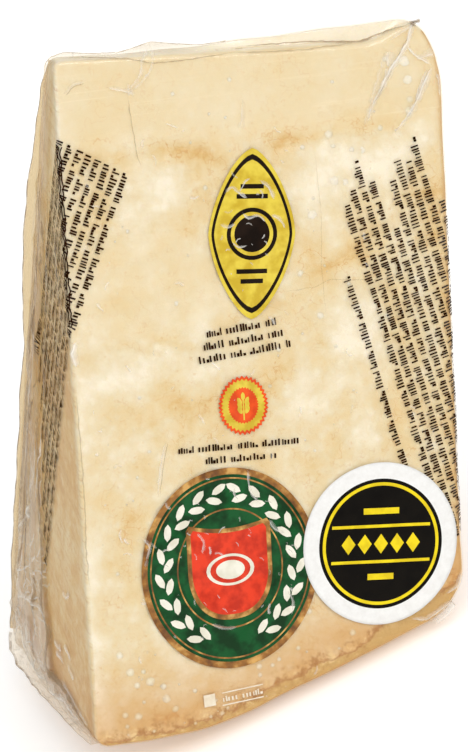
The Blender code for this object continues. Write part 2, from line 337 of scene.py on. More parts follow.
def split_relief(x, up, depth, fine):
    """Height of a split face over its plane, with the crumb where fine is 1, without it where 0."""
    spot = Vector((x, up, 0.3 * depth))
    height = 0.0015 * (paleness(x, up, depth) - 0.62)
    height += fine * (0.00028 * waves(spot, 0.0045, 8.0) + 0.00012 * waves(spot, 0.0021, 9.0))
    over = above_rind(x, up) + 1.5 * waves(spot, 0.007, 18.0) + 0.8 * waves(spot, 0.0032, 19.0)
    ledge = smooth(1.2, -0.6, over) - 0.7 * smooth(1.6, 0.2, over) * smooth(-1.0, 0.2, over)
    height -= fine * 0.00035 * ledge
    rough = roughness_of_split(x, up)
    if depth < 0:
        # The face is flat under the label.
        reach = math.hypot(x - LABEL_X, up - LABEL_UP)
        rough *= smooth(LABEL_RADIUS + 0.001, LABEL_RADIUS + 0.010, reach)
    chipped = 0.00035 * ledge * (1 - rough) * smooth(0.0, 0.006, x)
    return (height - 0.0006) * rough + fine * (0.00006 * waves(spot, 0.003, 10.0) - chipped)


LABEL_X, LABEL_UP, LABEL_RADIUS = 0.0886, 0.0508, 0.0238
LABEL_SPOT = Vector((1000 * LABEL_X, 1000 * LABEL_UP))


def rind_layer(x):
    """Thickness in metres of the dry layer under the rind, x from the mid height cut."""
    for (x0, low), (x1, high) in zip(RIND_LAYER, RIND_LAYER[1:]):
        if 1000 * x <= x1:
            return 0.001 * (low + (high - low) * max(1000 * x - x0, 0.0) / (x1 - x0))
    return 0.001 * RIND_LAYER[-1][1]


def above_rind(x, up):
    """How many millimetres a point lies above the dry layer."""
    return 1000 * (up - rind_rise(x) - rind_layer(x))


def knife_marks(x, up, depth):
    """1 where the blade smeared a face: the band below the tip, and a patch on each side."""
    patch_x, patch_up, half_x, half_up = (24, 131, 24, 14) if depth < 0 else (78, 84, 26, 15)
    reach = ((1000 * x - patch_x) / half_x) ** 2 + ((1000 * up - patch_up) / half_up) ** 2
    return max(smooth(KNIFE_BAND, KNIFE_BAND + 0.008, up), 0.8 * smooth(1.4, 0.6, reach))


def cut_cube(cuts):
    """A cube of side 2 with that many even cuts across each of its three axes."""
    mesh = bmesh.new()
    bmesh.ops.create_cube(mesh, size=2.0)
    for axis, count in enumerate(cuts):
        parallel = [e for e in mesh.edges if abs(e.verts[0].co[axis] - e.verts[1].co[axis]) > 1.5]
        bmesh.ops.subdivide_edges(mesh, edges=parallel, cuts=count, use_grid_fill=True)
    return mesh


PASTE_VALUES = ("paleness", "over_rind", "rind_outside", "sliced_end", "knife_marks")


def make_block(fine, skin):
    """The wedge as a bmesh in its own upright frame, its outside moved out by skin, with the
    values that the cheese's material reads kept on its points."""
    mesh = cut_cube((ACROSS_CUTS, DEPTH_CUTS, UP_CUTS))
    band_starts = 1 - 2 * EDGE_STRIPS / (DEPTH_CUTS + 1)
    pale, over_rind, outside, sliced, knifed = (mesh.verts.layers.float.new(name) for name in PASTE_VALUES)
    for vert in mesh.verts:
        a, b, c = (round(value, 5) for value in vert.co)
        point = wedge_point(a, b, c, band_starts)
        radius = math.hypot(point.y, APEX_HEIGHT - point.z)
        up = WHEEL_RADIUS - radius
        band = max((abs(b) - band_starts) / (1 - band_starts), 0.0)
        if abs(b) == 1:
            point += face_outward(b) * split_relief(point.x, up, b, fine)
        rind_side = max(smooth(-0.985, -0.9999, c), smooth(0.985, 0.9999, a))
        vert[outside] = rind_side * (1 - smooth(0.2, 0.9, band))
        vert[over_rind] = above_rind(point.x, up)
        spot = Vector((0.0, point.y, point.z))
        ragged = 0.0007 * waves(spot, 0.006, 15.0) + 0.0004 * waves(spot, 0.0025, 16.0)
        vert[sliced] = smooth(0.0012, 0.0002, point.x + 0.4 * ragged)
        # The sliced end is tan: the cut paste, and in part painted shade, as the end faces away from the
        # light. It is paler towards the tip and around 48 mm up, and paler still along its edge with the
        # printed face, crumbled paste with a painted highlight of that edge.
        end_tone_and_shade = 0.10 + 0.34 * smooth(0.10, 0.185, up) + 0.10 * smooth(0.035, 0.0, abs(up - 0.048))
        end_tone_and_shade += 0.08 * waves(spot, 0.022, 11.0) + 0.05 * waves(spot, 0.008, 12.0)
        end_tone_and_shade += 0.50 * smooth(0.0040, 0.0006, behind_face(point)[0])
        # The rounded edges of the split faces are tan, paler beside the sliced end: drier paste by the rind,
        # and painted shade where the edges turn away from the light. The narrow top of the tip is pale cream.
        edge_tone_and_shade = 0.78 - 0.38 * smooth(0.0, 0.03, point.x)
        if c > 0.99:
            edge_tone_and_shade = 1.02 + 0.10 * waves(point, 0.012, 14.0)
        face_tone = paleness(point.x, up, -1.0 if b < 0 else 1.0)
        face_tone = edge_tone_and_shade + (face_tone - edge_tone_and_shade) * smooth(0.0, 0.6, band)
        vert[pale] = face_tone + (end_tone_and_shade - face_tone) * vert[sliced]
        vert[knifed] = (1 - vert[sliced]) * knife_marks(point.x, up, b)
        vert.co = point
    bmesh.ops.recalc_face_normals(mesh, faces=mesh.faces[:])
    mesh.normal_update()
    for vert in mesh.verts:
        spot = vert.co.copy()
        bumps = 0.00022 * waves(spot, 0.012, 13.0) * (1 - 0.6 * vert[sliced])
        vert.co += vert.normal * (bumps + skin)
    return mesh


def set_down(mesh, lowest):
    """Leans the upright wedge into its place and presses what is below lowest flat."""
    bmesh.ops.transform(mesh, matrix=PLACE, verts=mesh.verts)
    for vert in mesh.verts:
        vert.co.z = max(vert.co.z, lowest)


# Hard grana paste: waxy and slightly translucent, cream with tan hollows, fine knife lines, tan
# flecks and white crystals. Drier and darker towards the rind, which is golden brown outside.
grana_paste, tree = new_material("grana paste and rind")
place = add(tree, "TexCoord")
turned = PLACE.inverted()
upright = add(
    tree, "Mapping", {"Vector": place.outputs["Object"], "Location": turned.to_translation(),
                      "Rotation": turned.to_euler()}
)
pale, over_rind, outside, sliced, knifed = (
    add(tree, "Attribute", attribute_name=name).outputs["Fac"] for name in PASTE_VALUES
)
# Curds of about 9 mm, crumbs of about 3 mm and pale knots of about 2 mm give the cloudy mottling,
# which is weaker where the blade smeared the paste.
curds = add(tree, "TexNoise", {"Vector": upright, "Scale": 110.0, "Detail": 3.0, "Roughness": 0.55})
crumbs = add(tree, "TexNoise", {"Vector": upright, "Scale": 320.0, "Detail": 5.0, "Roughness": 0.82})
knots = add(tree, "TexVoronoi", {"Vector": upright, "Scale": 240.0, "Smoothness": 0.4}, feature="SMOOTH_F1")
knot_part = add(tree, "MapRange", (knots, 0.42, 0.08, 0.0, 0.16))
curd_part = add(tree, "Math", (curds, 0.85, -0.435), operation="MULTIPLY_ADD")
crumb_part = add(tree, "Math", (crumbs, 0.6, -0.3), operation="MULTIPLY_ADD")
cloudy = add(tree, "Math", (curd_part, crumb_part), operation="ADD")
cloudy = add(tree, "Math", (cloudy, knot_part), operation="ADD")
evenness = add(tree, "MapRange", (knifed, 0.0, 1.0, 1.0, 0.35))
cloudy = add(tree, "Math", (cloudy, evenness), operation="MULTIPLY")
mottled = add(tree, "Math", (pale, cloudy), operation="ADD")
paste_colour = add(
    tree, "ValToRGB", (mottled,), stops=((0.0, "#d2aa68"), (0.14, "#d9b97e"), (0.3, "#e0ca9c"),
                                         (0.46, "#e3d2ab"), (0.62, "#e5d9bb"), (0.8, "#eae2cc"),
                                         (1.0, "#f2eddf"))
)
# Fine tan cracks between the curds, in the hollows only.
crack_noise = add(tree, "TexNoise", {"Vector": upright, "Scale": 130.0, "Detail": 3.0, "Roughness": 0.6})
crack_way = add(tree, "Math", (crack_noise, 0.5), operation="SUBTRACT")
crack_way = add(tree, "Math", (crack_way,), operation="ABSOLUTE")
crack_line = add(tree, "MapRange", (crack_way, 0.011, 0.0, 0.0, 0.75))
crack_where = add(tree, "MapRange", (pale, 0.62, 0.34, 0.1))
crack_part = add(tree, "Math", (crack_line, crack_where), operation="MULTIPLY")
cracked = add(tree, "MixRGB", (crack_part, paste_colour, linear("#cfa164")))
# Tan flecks of about a millimetre, in loose groups.
fleck_noise = add(tree, "TexNoise", {"Vector": upright, "Scale": 560.0, "Detail": 2.0, "Roughness": 0.6})
fleck_group = add(tree, "TexNoise", {"Vector": upright, "Scale": 60.0, "Detail": 2.0})
fleck_limit = add(tree, "MapRange", (fleck_group, 0.42, 0.66, 0.76, 0.62))
fleck_edge = add(tree, "Math", (fleck_noise, fleck_limit), operation="SUBTRACT")
flecks = add(tree, "MapRange", (fleck_edge, 0.0, 0.1, 0.0, 0.4))
flecked = add(tree, "MixRGB", (flecks, cracked, linear("#d3ac70")))
# Pale streaks that the blade left, half a millimetre wide and a few centimetres long.
level_streaks = add(tree, "Mapping", {"Vector": upright, "Rotation": (0.0, math.radians(2.8), 0.0)})
streak_place = add(tree, "Mapping", {"Vector": level_streaks, "Scale": (16.0, 16.0, 1000.0)})
streak_noise = add(
    tree, "TexNoise", {"Vector": streak_place, "Scale": 1.0, "Detail": 2.0, "Roughness": 0.7}
)
streaks = add(tree, "MapRange", (streak_noise, 0.58, 0.74, 0.0, 0.5))
streak_part = add(tree, "Math", (streaks, knifed), operation="MULTIPLY")
streaked = add(tree, "MixRGB", (streak_part, flecked, linear("#eee3c9")))
# Slanting hairlines of the slicer on the end, darker and lighter than the paste.
slanted = add(tree, "Mapping", {"Vector": upright, "Rotation": (math.radians(-16.0), 0.0, 0.0)})
hair_place = add(tree, "Mapping", {"Vector": slanted, "Scale": (40.0, 70.0, 1200.0)})
hair_noise = add(tree, "TexNoise", {"Vector": hair_place, "Scale": 1.0, "Detail": 2.0, "Roughness": 0.6})
hair_dark = add(tree, "MapRange", (hair_noise, 0.46, 0.34, 0.0, 0.42))
hair_pale = add(tree, "MapRange", (hair_noise, 0.56, 0.68, 0.0, 0.45))
hair_dark = add(tree, "Math", (hair_dark, sliced), operation="MULTIPLY")
hair_pale = add(tree, "Math", (hair_pale, sliced), operation="MULTIPLY")
spotted = add(tree, "MixRGB", (hair_dark, streaked, linear("#bf9254")))
spotted = add(tree, "MixRGB", (hair_pale, spotted, linear("#dfc796")))
# The paste dries towards the rind: tan over 25 mm, then the amber layer with its jagged edge.
jag = add(tree, "TexNoise", {"Vector": upright, "Scale": 210.0, "Detail": 5.0, "Roughness": 0.68})
jagged = add(tree, "Math", (jag, 9.0, -4.5), operation="MULTIPLY_ADD")
rind_place = add(tree, "Math", (over_rind, jagged), operation="ADD")
dry = add(tree, "MapRange", (rind_place, 30.0, -4.0, 0.0, 0.72), interpolation_type="SMOOTHSTEP")
dry_part = add(tree, "MapRange", (sliced, 0.0, 1.0, 1.0, 0.6))
dry = add(tree, "Math", (dry, dry_part), operation="MULTIPLY")
dried = add(tree, "MixRGB", (dry, spotted, linear("#e6b877")), blend_type="MULTIPLY")
layer = add(tree, "MapRange", (rind_place, 0.5, -0.9, 0.0, 0.85), interpolation_type="SMOOTHSTEP")
layered = add(tree, "MixRGB", (layer, dried, linear("#c7a464")))
# Pits and chips where the dry layer broke away, in a belt a few millimetres wide: the pits are
# painted darker brown, partly as the shade in them, and the chips paler.
crag_noise = add(tree, "TexNoise", {"Vector": upright, "Scale": 300.0, "Detail": 5.0, "Roughness": 0.72})
crag_shade = add(tree, "MapRange", (crag_noise, 0.5, 0.38, 0.0, 0.9))
chip_shade = add(tree, "MapRange", (crag_noise, 0.54, 0.62, 0.0, 0.8))
belt_place = add(tree, "MapRange", (rind_place, -10.0, 10.0))
belt = add(
    tree, "ValToRGB", (belt_place,), stops=((0.3, "#000000"), (0.46, "#ffffff"), (0.56, "#ffffff"),
                                            (0.74, "#000000"))
)
crag_part = add(tree, "Math", (crag_shade, belt), operation="MULTIPLY")
chip_part = add(tree, "Math", (chip_shade, belt), operation="MULTIPLY")
layered = add(tree, "MixRGB", (crag_part, layered, linear("#b07f41")))
layered = add(tree, "MixRGB", (chip_part, layered, linear("#e6cc98")))
seam_place = add(tree, "MapRange", (rind_place, -5.0, 5.0))
seam = add(
    tree, "ValToRGB", (seam_place,), stops=((0.0, "#000000"), (0.42, "#000000"), (0.5, "#ffffff"),
                                            (0.6, "#000000"))
)
seam_part = add(tree, "Math", (seam, 0.75), operation="MULTIPLY")
edged = add(tree, "MixRGB", (seam_part, layered, linear("#a97238")))
# The rind itself: oiled and golden brown, with broad darker patches and fine cloth marks.
rind_patches = add(tree, "TexNoise", {"Vector": upright, "Scale": 70.0, "Detail": 5.0, "Roughness": 0.62})
rind_colour = add(
    tree, "ValToRGB", (rind_patches,), stops=((0.25, "#a87a38"), (0.45, "#c0924c"), (0.62, "#cfa65f"),
                                              (0.8, "#dab873"))
)
surface_colour = add(tree, "MixRGB", (outside, edged, rind_colour))
grain = add(tree, "TexNoise", {"Vector": upright, "Scale": 900.0, "Detail": 3.0, "Roughness": 0.6})
lumps = add(tree, "Bump", {"Height": mottled, "Distance": 0.001, "Strength": 0.6})
bump = add(tree, "Bump", {"Height": grain, "Distance": 0.00022, "Strength": 0.45, "Normal": lumps})
paste = add(
    tree, "BsdfPrincipled", {"Base Color": surface_colour, "Roughness": 0.48, "IOR": 1.45,
                             "Subsurface Weight": 0.22, "Subsurface Radius": (1.0, 0.75, 0.45),
                             "Subsurface Scale": 0.0035, "Normal": bump}
)
add(tree, "OutputMaterial", (paste,))

mesh = make_block(1.0, 0.0)
set_down(mesh, 0.0006)
cheese = keep("cheese_wedge", mesh, [grana_paste])
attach(cheese, "root")
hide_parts("sealed_wedge")


# ----------------------------------------
# Crystals: small white lumps of hardened protein that ripening leaves in the paste, thickest
# towards the rind. Each is a low dome, pale in the middle and the paste's own colour at its rim.
cheese_tree = BVHTree.FromPolygons([vert.co for vert in cheese.data.vertices],
                                   [face.vertices for face in cheese.data.polygons])
# The crystals that stand out on the printed face, some of them white flecks put where light
# glints on the film, so partly painted glints: across and up in millimetres, and size.
CRYSTAL_RADIUS = 0.00125
CRYSTALS_AND_GLINT_FLECKS = (
    (8.5, 27.6, 1), (11.4, 22.3, 1.2), (13.2, 18.3, 0.9), (17.1, 18.9, 1.3), (20.8, 17, 0.9),
    (21.5, 13.4, 1.2), (24, 10.1, 1), (34.8, 10.5, 0.9), (9.1, 10.1, 0.9), (13, 9.3, 1.1), (9.5, 6.8, 0.7),
    (65.9, 33.3, 0.8), (78.8, 25.5, 1), (49.9, 19.1, 0.9), (56, 20.5, 0.7), (62, 23, 0.7), (38, 6.9, 0.8),
    (30.1, 14.6, 0.7), (103, 189.1, 1.5), (103.8, 183.8, 1.3), (104.2, 178.1, 1), (103.9, 175, 1.2),
    (97.1, 190.1, 0.8), (80.3, 156.7, 1.2), (83.5, 156.1, 0.9), (79.3, 169.8, 1.1), (95, 170.7, 0.8),
    (73.1, 147.7, 1.3), (89.1, 164.8, 0.9), (80.3, 166.5, 0.6), (85.8, 165.3, 0.7), (68.8, 131, 0.9),
    (74, 118.5, 1), (61, 110, 0.7),
)


def lay_dome(mesh, layers, up_face, x, up, radius, seed):
    """A dome of 36 triangles on the cheese at (x, up) of the face at depth up_face, in metres."""
    made = bmesh.ops.create_circle(mesh, segments=12, radius=1.0, cap_ends=True)["verts"]
    disc = next(face for face in made[0].link_faces if len(face.verts) == 12)
    bmesh.ops.inset_region(mesh, faces=[disc], thickness=0.36, use_boundary=True)
    inner = list(disc.verts)
    middle = bmesh.ops.poke(mesh, faces=[disc])["verts"]
    outward = TURN @ face_outward(up_face)
    for vert in made + inner + middle:
        share = vert.co.length
        bent = vert.co * radius * (1 + 0.22 * noise.noise(vert.co * 1.3 + Vector((seed, 0.0, 0.0))))
        point = PLACE @ face_point(x + bent.x, up + bent.y, up_face, 0.004)
        hit = cheese_tree.ray_cast(point, -outward)[0] or point
        vert.co = hit + outward * (0.00010 * (1 - share) - 0.00003 * (share > 0.9))
        vert[layers["paleness"]] = paleness(x, up, up_face) + 0.46 * (1 - share**2)
        vert[layers["over_rind"]] = above_rind(x, up) + 10 * (1 - share)


mesh = bmesh.new()
layers = {name: mesh.verts.layers.float.new(name) for name in PASTE_VALUES}
for number, (x, up, radius) in enumerate(CRYSTALS_AND_GLINT_FLECKS):
    lay_dome(mesh, layers, -1.0, 0.001 * x, 0.001 * up, CRYSTAL_RADIUS * radius, 1.7 * number)
chance = random.Random(20)
for up_face, count in ((-1.0, 90), (1.0, 130)):
    for number in range(count):
        x = chance.uniform(0.005, 0.109)
        up = rind_rise(x) + 0.004 + 0.180 * chance.random() ** 1.8
        if up < 0.19 and not (up_face < 0 and math.hypot(x - LABEL_X, up - LABEL_UP) < 0.030):
            lay_dome(mesh, layers, up_face, x, up, chance.uniform(0.0003, 0.0009), 3.1 * number)
bmesh.ops.recalc_face_normals(mesh, faces=mesh.faces[:])
crystals_and_glints = keep("paste_crystals_and_glint_flecks", mesh, [grana_paste])
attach(crystals_and_glints, "root")
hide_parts("sealed_wedge")


# ----------------------------------------
# The shrink bag: clear film that lies on the cheese, follows its lumps and stands off in pleats
# on the sliced end, where the spare width of the bag was gathered.
FILM_GAP = 0.00045


def film_material(name, tint, veil_colour):
    """Thin clear film of that tint, with a veil of that colour where its haze attribute is high: the
    haze of crumpled film, and on loose film partly painted reflection and shade.
    """
    made, tree = new_material(name)
    place = add(tree, "TexCoord")
    haze = add(tree, "Attribute", attribute_name="haze").outputs["Fac"]
    # Wrinkles of a few millimetres, drawn a little coarser than the real ones so that they show.
    creased = add(tree, "TexNoise", {"Vector": place.outputs["Object"], "Scale": 130.0, "Detail": 2.0,
                                     "Roughness": 0.4, "Lacunarity": 2.2}, noise_type="RIDGED_MULTIFRACTAL")
    soft = add(tree, "TexNoise", {"Vector": place.outputs["Object"], "Scale": 240.0, "Detail": 1.0})
    wrinkles = add(tree, "Math", (creased, 0.35, soft), operation="MULTIPLY_ADD")
    wrinkled = add(tree, "MapRange", (haze, 0.0, 0.35, 0.4, 1.0))
    bump = add(tree, "Bump", {"Height": wrinkles, "Distance": 0.0004, "Strength": wrinkled})
    # It shines where it is seen almost edge on, and where it hangs loose.
    facing = add(tree, "LayerWeight", {"Blend": 0.5, "Normal": bump})
    grazing = add(tree, "Math", (facing.outputs["Facing"], 9.0), operation="POWER")
    sheen = add(tree, "MapRange", (grazing, 0.0, 1.0, 0.026, 0.36))
    sheen = add(tree, "Math", (haze, 0.3, sheen), operation="MULTIPLY_ADD")
    gloss = add(tree, "BsdfAnisotropic", {"Color": (1.0, 1.0, 1.0, 1.0), "Roughness": 0.12, "Normal": bump})
    clear = add(tree, "BsdfTransparent", {"Color": linear(tint)})
    veil = add(tree, "BsdfDiffuse", {"Color": linear(veil_colour)})
    body = add(tree, "MixShader", (haze, clear, veil))
    film = add(tree, "MixShader", (sheen, body, gloss))
    add(tree, "OutputMaterial", (film,))
    return made


shrink_film = film_material("clear shrink film", "#fcf8f1", "#e0d1b9")
# Two layers welded together, greasy with cheese between them, look cream against the light.
seam_film = film_material("welded shrink film", "#efe2c6", "#dcc79d")


def film_line_material(name, tint, colour, roughness, patches, hazy=True):
    """A thin line of film of that colour, clear where it is weak: patches give where its strength
    goes from low to high over a noise of 3 mm, and a hazy one is also weakened by its haze, which
    is the strength of the painted highlight on a white crease and of the painted shade on a dark one."""
    made, tree = new_material(name)
    place = add(tree, "TexCoord")
    uneven = add(tree, "TexNoise", {"Vector": place.outputs["Object"], "Scale": 300.0, "Detail": 2.0})
    strength = add(tree, "MapRange", (uneven, *patches))
    if hazy:
        haze = add(tree, "Attribute", attribute_name="haze").outputs["Fac"]
        strength = add(tree, "Math", (haze, strength), operation="MULTIPLY")
    clear = add(tree, "BsdfTransparent", {"Color": linear(tint)})
    line = add(tree, "BsdfPrincipled", {"Base Color": linear(colour), "Roughness": roughness})
    add(tree, "OutputMaterial", (add(tree, "MixShader", (strength, clear, line)),))
    return made


# Where the film is cut or sharply folded its edge shows as a thin brown line.
folded_edge = film_line_material("folded film edge", "#fcf8f1", "#9a8262", 0.3, (0.35, 0.65, 0.25, 0.75),
                                 hazy=False)

# Height in millimetres of the spare film that stands on the tip, by its place across.
TIP_FOLD = (
    (-2, 0), (4, 1.5), (17.5, 0), (28.5, 2.7), (43, 0.1), (52, 0), (115, 0),
)


def from_table(table, place):
    """The value at a place in a table of (place, value), straight between its rows."""
    for (start, low), (end, high) in zip(table, table[1:]):
        if place <= end:
            return low + (high - low) * max(place - start, 0.0) / (end - start)
    return table[-1][1]


# How far behind the printed face the film stops lying tight on the sliced end, in millimetres, by
# the height along the face.
GATHER_STARTS = (
    (5, 1), (7.3, 11), (12.5, 29), (15, 41), (26, 42), (45, 44), (64, 42.7), (85, 39), (110, 37), (195, 20),
)


def loosen(point):
    """(How the film moves off the cheese, how hazy it is) at a point of the upright wedge."""
    depth, up = behind_face(point)
    radius = math.hypot(point.y, APEX_HEIGHT - point.z)
    turn = math.atan2(point.y, APEX_HEIGHT - point.z) / HALF_ANGLE
    on_tip = smooth(0.0008, 0.0002, radius - wheel_radius_at(point.x, FACE_LENGTH, turn) + FILM_GAP)
    crest = 0.001 * from_table(TIP_FOLD, 1000 * point.x) * max(0.0, 1 - abs(turn - 0.15) / 1.1) * on_tip
    move = Vector((0.0, 0.0, crest))
    haze = min(crest / 0.0012, 1.0) * 0.16
    total = max(2 * (WHEEL_RADIUS - up) * math.sin(HALF_ANGLE), 0.004)
    on_end = smooth(0.003, 0.0, point.x)
    start = min(0.001 * from_table(GATHER_STARTS, 1000 * up), total - 0.007)
    share = min((depth - start) / max(total - start, 0.003), 1.0)
    if on_end > 0 and share > 0:
        grow = 1 - 0.6 * smooth(0.07, 0.19, up)
        low_edge = smooth(-0.002, 0.022, up)
        lift = 0.0013 * grow * smooth(0.0, 0.10, share)
        fold = 0.0
        for at, width, height in ((0.04, 0.05, 0.9), (0.30, 0.07, 1.1), (0.56, 0.06, 0.9), (0.80, 0.07, 1.2)):
            wobble = 0.07 * waves(Vector((at, up, 0.0)), 0.04, 17.0 + 9 * at)
            fold = max(fold, height * max(0.0, 1 - abs(share - at - wobble) / width))
        lift += 0.0011 * grow * fold
        crumple = 1 - abs(noise.noise(point / 0.010 + Vector((4.0, 1.0, 2.0)))) * 3.2
        lift += 0.0011 * smooth(0.060, 0.010, up) * max(crumple, -0.4) * smooth(0.0, 0.15, share)
        move.x -= lift * on_end * low_edge
        # The loose film's veil, hazier low down, along its folds and in streaks, is partly its own haze and
        # partly painted reflection and shade.
        streak = waves(Vector((0.0, depth, 0.12 * up)), 0.0035, 24.0)
        tone = 0.15 + 0.12 * smooth(0.08, 0.03, up)
        haze = max(haze, on_end * (tone + 0.16 * fold * grow + 0.13 * streak) * smooth(0.0, 0.06, share))
    return move, haze


mesh = make_block(0.0, FILM_GAP)
haze_and_light_layer = mesh.verts.layers.float.new("haze")
mesh.normal_update()
for vert in mesh.verts:
    move, vert[haze_and_light_layer] = loosen(vert.co)
    vert.co += move
set_down(mesh, 0.0001)
film_tree = BVHTree.FromBMesh(mesh)
bag = keep("film_bag", mesh, [shrink_film])
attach(bag, "root")
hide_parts("sealed_wedge")


# ----------------------------------------
# The bag's side seam: two layers of film welded flat, which stand out from the edge between the
# sliced end and the back as a thin fin, widest where the bag had room to spare.
def seam_point(share, across):
    """A point of the seam: share from tip to rind, across from 0 inside the cheese to 1 at the rim."""
    wide = 0.0020 * smooth(0.0, 0.05, share) + 0.0008 * smooth(0.10, 0.20, share) * smooth(0.96, 0.85, share)
    wide += 0.0018 * (1 - smooth(0.0, 0.24, abs(share - 0.26)))
    wide += 0.0004 * waves(Vector((share, 0.0, 0.0)), 0.05, 31.0)
    outward = -0.0020 + (wide + 0.0020) * across
    sunk = EDGE_RADIUS * (min(1.0, 0.3 + share) * (1 - across) + (0.1 + 0.4 * share) * across)
    point = face_point(-outward, FACE_LENGTH * (1 - 0.004 - 0.992 * share), 1.0, -sunk)
    point.y += 0.0006 * across * waves(Vector((0.0, share, 0.0)), 0.035, 33.0)
    return point


# The last of the seam's rows of faces is its brown rim, in the second of its materials.
SEAM_STEPS, SEAM_ROWS, RIM = 160, 14, 1
mesh = bmesh.new()
haze_and_light_layer = mesh.verts.layers.float.new("haze")
bmesh.ops.create_grid(mesh, x_segments=SEAM_STEPS, y_segments=SEAM_ROWS, size=1.0)
for vert in mesh.verts:
    share, row = (vert.co.x + 1) / 2, round((vert.co.y + 1) * SEAM_ROWS / 2)
    across = row / (SEAM_ROWS - 1) * 0.95 if row < SEAM_ROWS else 1.0
    streak = waves(Vector((0.9 * across, 0.12 * share, 0.0)), 0.11, 36.0)
    vert[haze_and_light_layer] = 0.22 + 0.20 * smooth(0.15, 0.9, streak) + 0.06 * smooth(0.80, 1.0, across)
    vert.co = seam_point(share, across)
    if row == SEAM_ROWS:
        for face in vert.link_faces:
            face.material_index = RIM
bmesh.ops.transform(mesh, matrix=PLACE, verts=mesh.verts)
seam_fin = keep("side_seam", mesh, [seam_film, folded_edge])
welded = seam_fin.modifiers.new("two_layers", "SOLIDIFY")
welded.thickness = 0.00014
welded.offset = 0.0
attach(seam_fin, "root")
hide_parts("sealed_wedge")


# ----------------------------------------
# The free edge of the fold on the tip, where the spare film was laid over and shrank fast: its
# doubled, cut edge shows as a fine brown line along the fold's crest.
CREST_STEPS, CREST_SLOTS = 140, 24
mesh = bmesh.new()
bmesh.ops.create_grid(mesh, x_segments=CREST_STEPS, y_segments=1, size=1.0)
down = -(TURN @ Vector((0.0, 0.0, 1.0)))
radius = WHEEL_RADIUS - FACE_LENGTH
crests = []
for step in range(CREST_STEPS + 1):
    # The highest of the places that rays from above meet, front to back across the tip.
    x = -0.0012 + 0.0520 * step / CREST_STEPS
    hits = []
    for slot in range(CREST_SLOTS + 1):
        turn = HALF_ANGLE * (-0.95 + 1.9 * slot / CREST_SLOTS)
        start = Vector((x, radius * math.sin(turn), APEX_HEIGHT - radius * math.cos(turn) + 0.012))
        hit = film_tree.ray_cast(PLACE @ start, down)[0]
        if hit:
            hits.append(hit)
    crests.append(max(hits, key=lambda hit: -hit.dot(down)) if hits else crests[-1])
for vert in mesh.verts:
    step = round((vert.co.x + 1) * CREST_STEPS / 2)
    width = 0.00017 if vert.co.y > 0 else -0.00013
    vert.co = crests[step] - down * width + Vector((0.0, -0.0001, 0.0))
crest_line = keep("tip_fold_edge", mesh, [folded_edge])
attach(crest_line, "root")
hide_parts("sealed_wedge")


# ----------------------------------------
# The bag's spare bottom corner: a crumpled pocket along the lower edge of the sliced end, wide
# at the back, where it meets the seam, and narrowing towards the printed face.
FOOT_TUCK = 0.0012
FOOT_STEPS, FOOT_ROWS = 110, 44


def foot_point(share, across):
    """A point of the pocket: share from back to front, across -1 on the sliced end, 0 rim, 1 rind."""
    turn = HALF_ANGLE * (0.985 - 1.92 * share)
    wide = 0.0034 * smooth(-0.05, 0.08, share) * (1 - smooth(0.12, 0.60, share)) + 0.0004
    wide *= 1 + 0.20 * waves(Vector((share, 0.0, 0.0)), 0.07, 40.0)
    reach = 1 - abs(across)
    out = 0.75 * wide * reach**0.8 + 0.0004
    inward = (0.016 - 0.013 * share) * (1 - reach)
    x, beyond = (-out, out - inward) if across < 0 else (inward - out, out)
    radius = wheel_radius_at(max(x, 0.0), 0.0, turn / HALF_ANGLE)
    radius += beyond - FOOT_TUCK * smooth(0.2, 1.0, share)
    point = Vector((x, radius * math.sin(turn), APEX_HEIGHT - radius * math.cos(turn)))
    crumple = 1.0 - 2.6 * abs(noise.noise(point / 0.012 + Vector((7.0, 1.0, 3.0))))
    crumple += 0.5 - 1.3 * abs(noise.noise(point / 0.006 + Vector((2.0, 9.0, 4.0))))
    push = 0.0005 * crumple * (0.4 + 0.6 * reach) * (1 - 0.75 * share) * smooth(0.0, 0.15, 1 - abs(across))
    return point + Vector((-push, 0.0, -push if across > 0 else 0.0)) * 0.8


mesh = bmesh.new()
haze_and_light_layer = mesh.verts.layers.float.new("haze")
bmesh.ops.create_grid(mesh, x_segments=FOOT_STEPS, y_segments=FOOT_ROWS, size=1.0)
for vert in mesh.verts:
    share, across = (vert.co.x + 1) / 2, vert.co.y
    streak = abs(noise.noise(Vector((9 * share, 5.0 * across, 3.0))))
    vert[haze_and_light_layer] = (0.10 + 0.30 * smooth(0.12, 0.0, streak)) * smooth(1.0, 0.75, abs(across))
    if abs(across) < 0.01:
        for face in vert.link_faces:
            face.material_index = RIM
    vert.co = foot_point(share, across)
bmesh.ops.transform(mesh, matrix=PLACE, verts=mesh.verts)
for vert in mesh.verts:
    vert.co.z = max(vert.co.z, 0.0002)
foot_fold = keep("bottom_fold", mesh, [shrink_film, folded_edge])
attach(foot_fold, "root")
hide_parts("sealed_wedge")


# ----------------------------------------
# Print on the film: an upright yellow badge with a dark line, a round mark and short bars. It was
# printed flat and shrank with the film. Its drawings are in millimetres over the flat film.
PRINT_LIFT, CREASE_LIFT, LABEL_LIFT, LABEL_PRINT_LIFT = 0.00006, 0.00009, 0.00030, 0.00033
LAYER_STEP = 0.05


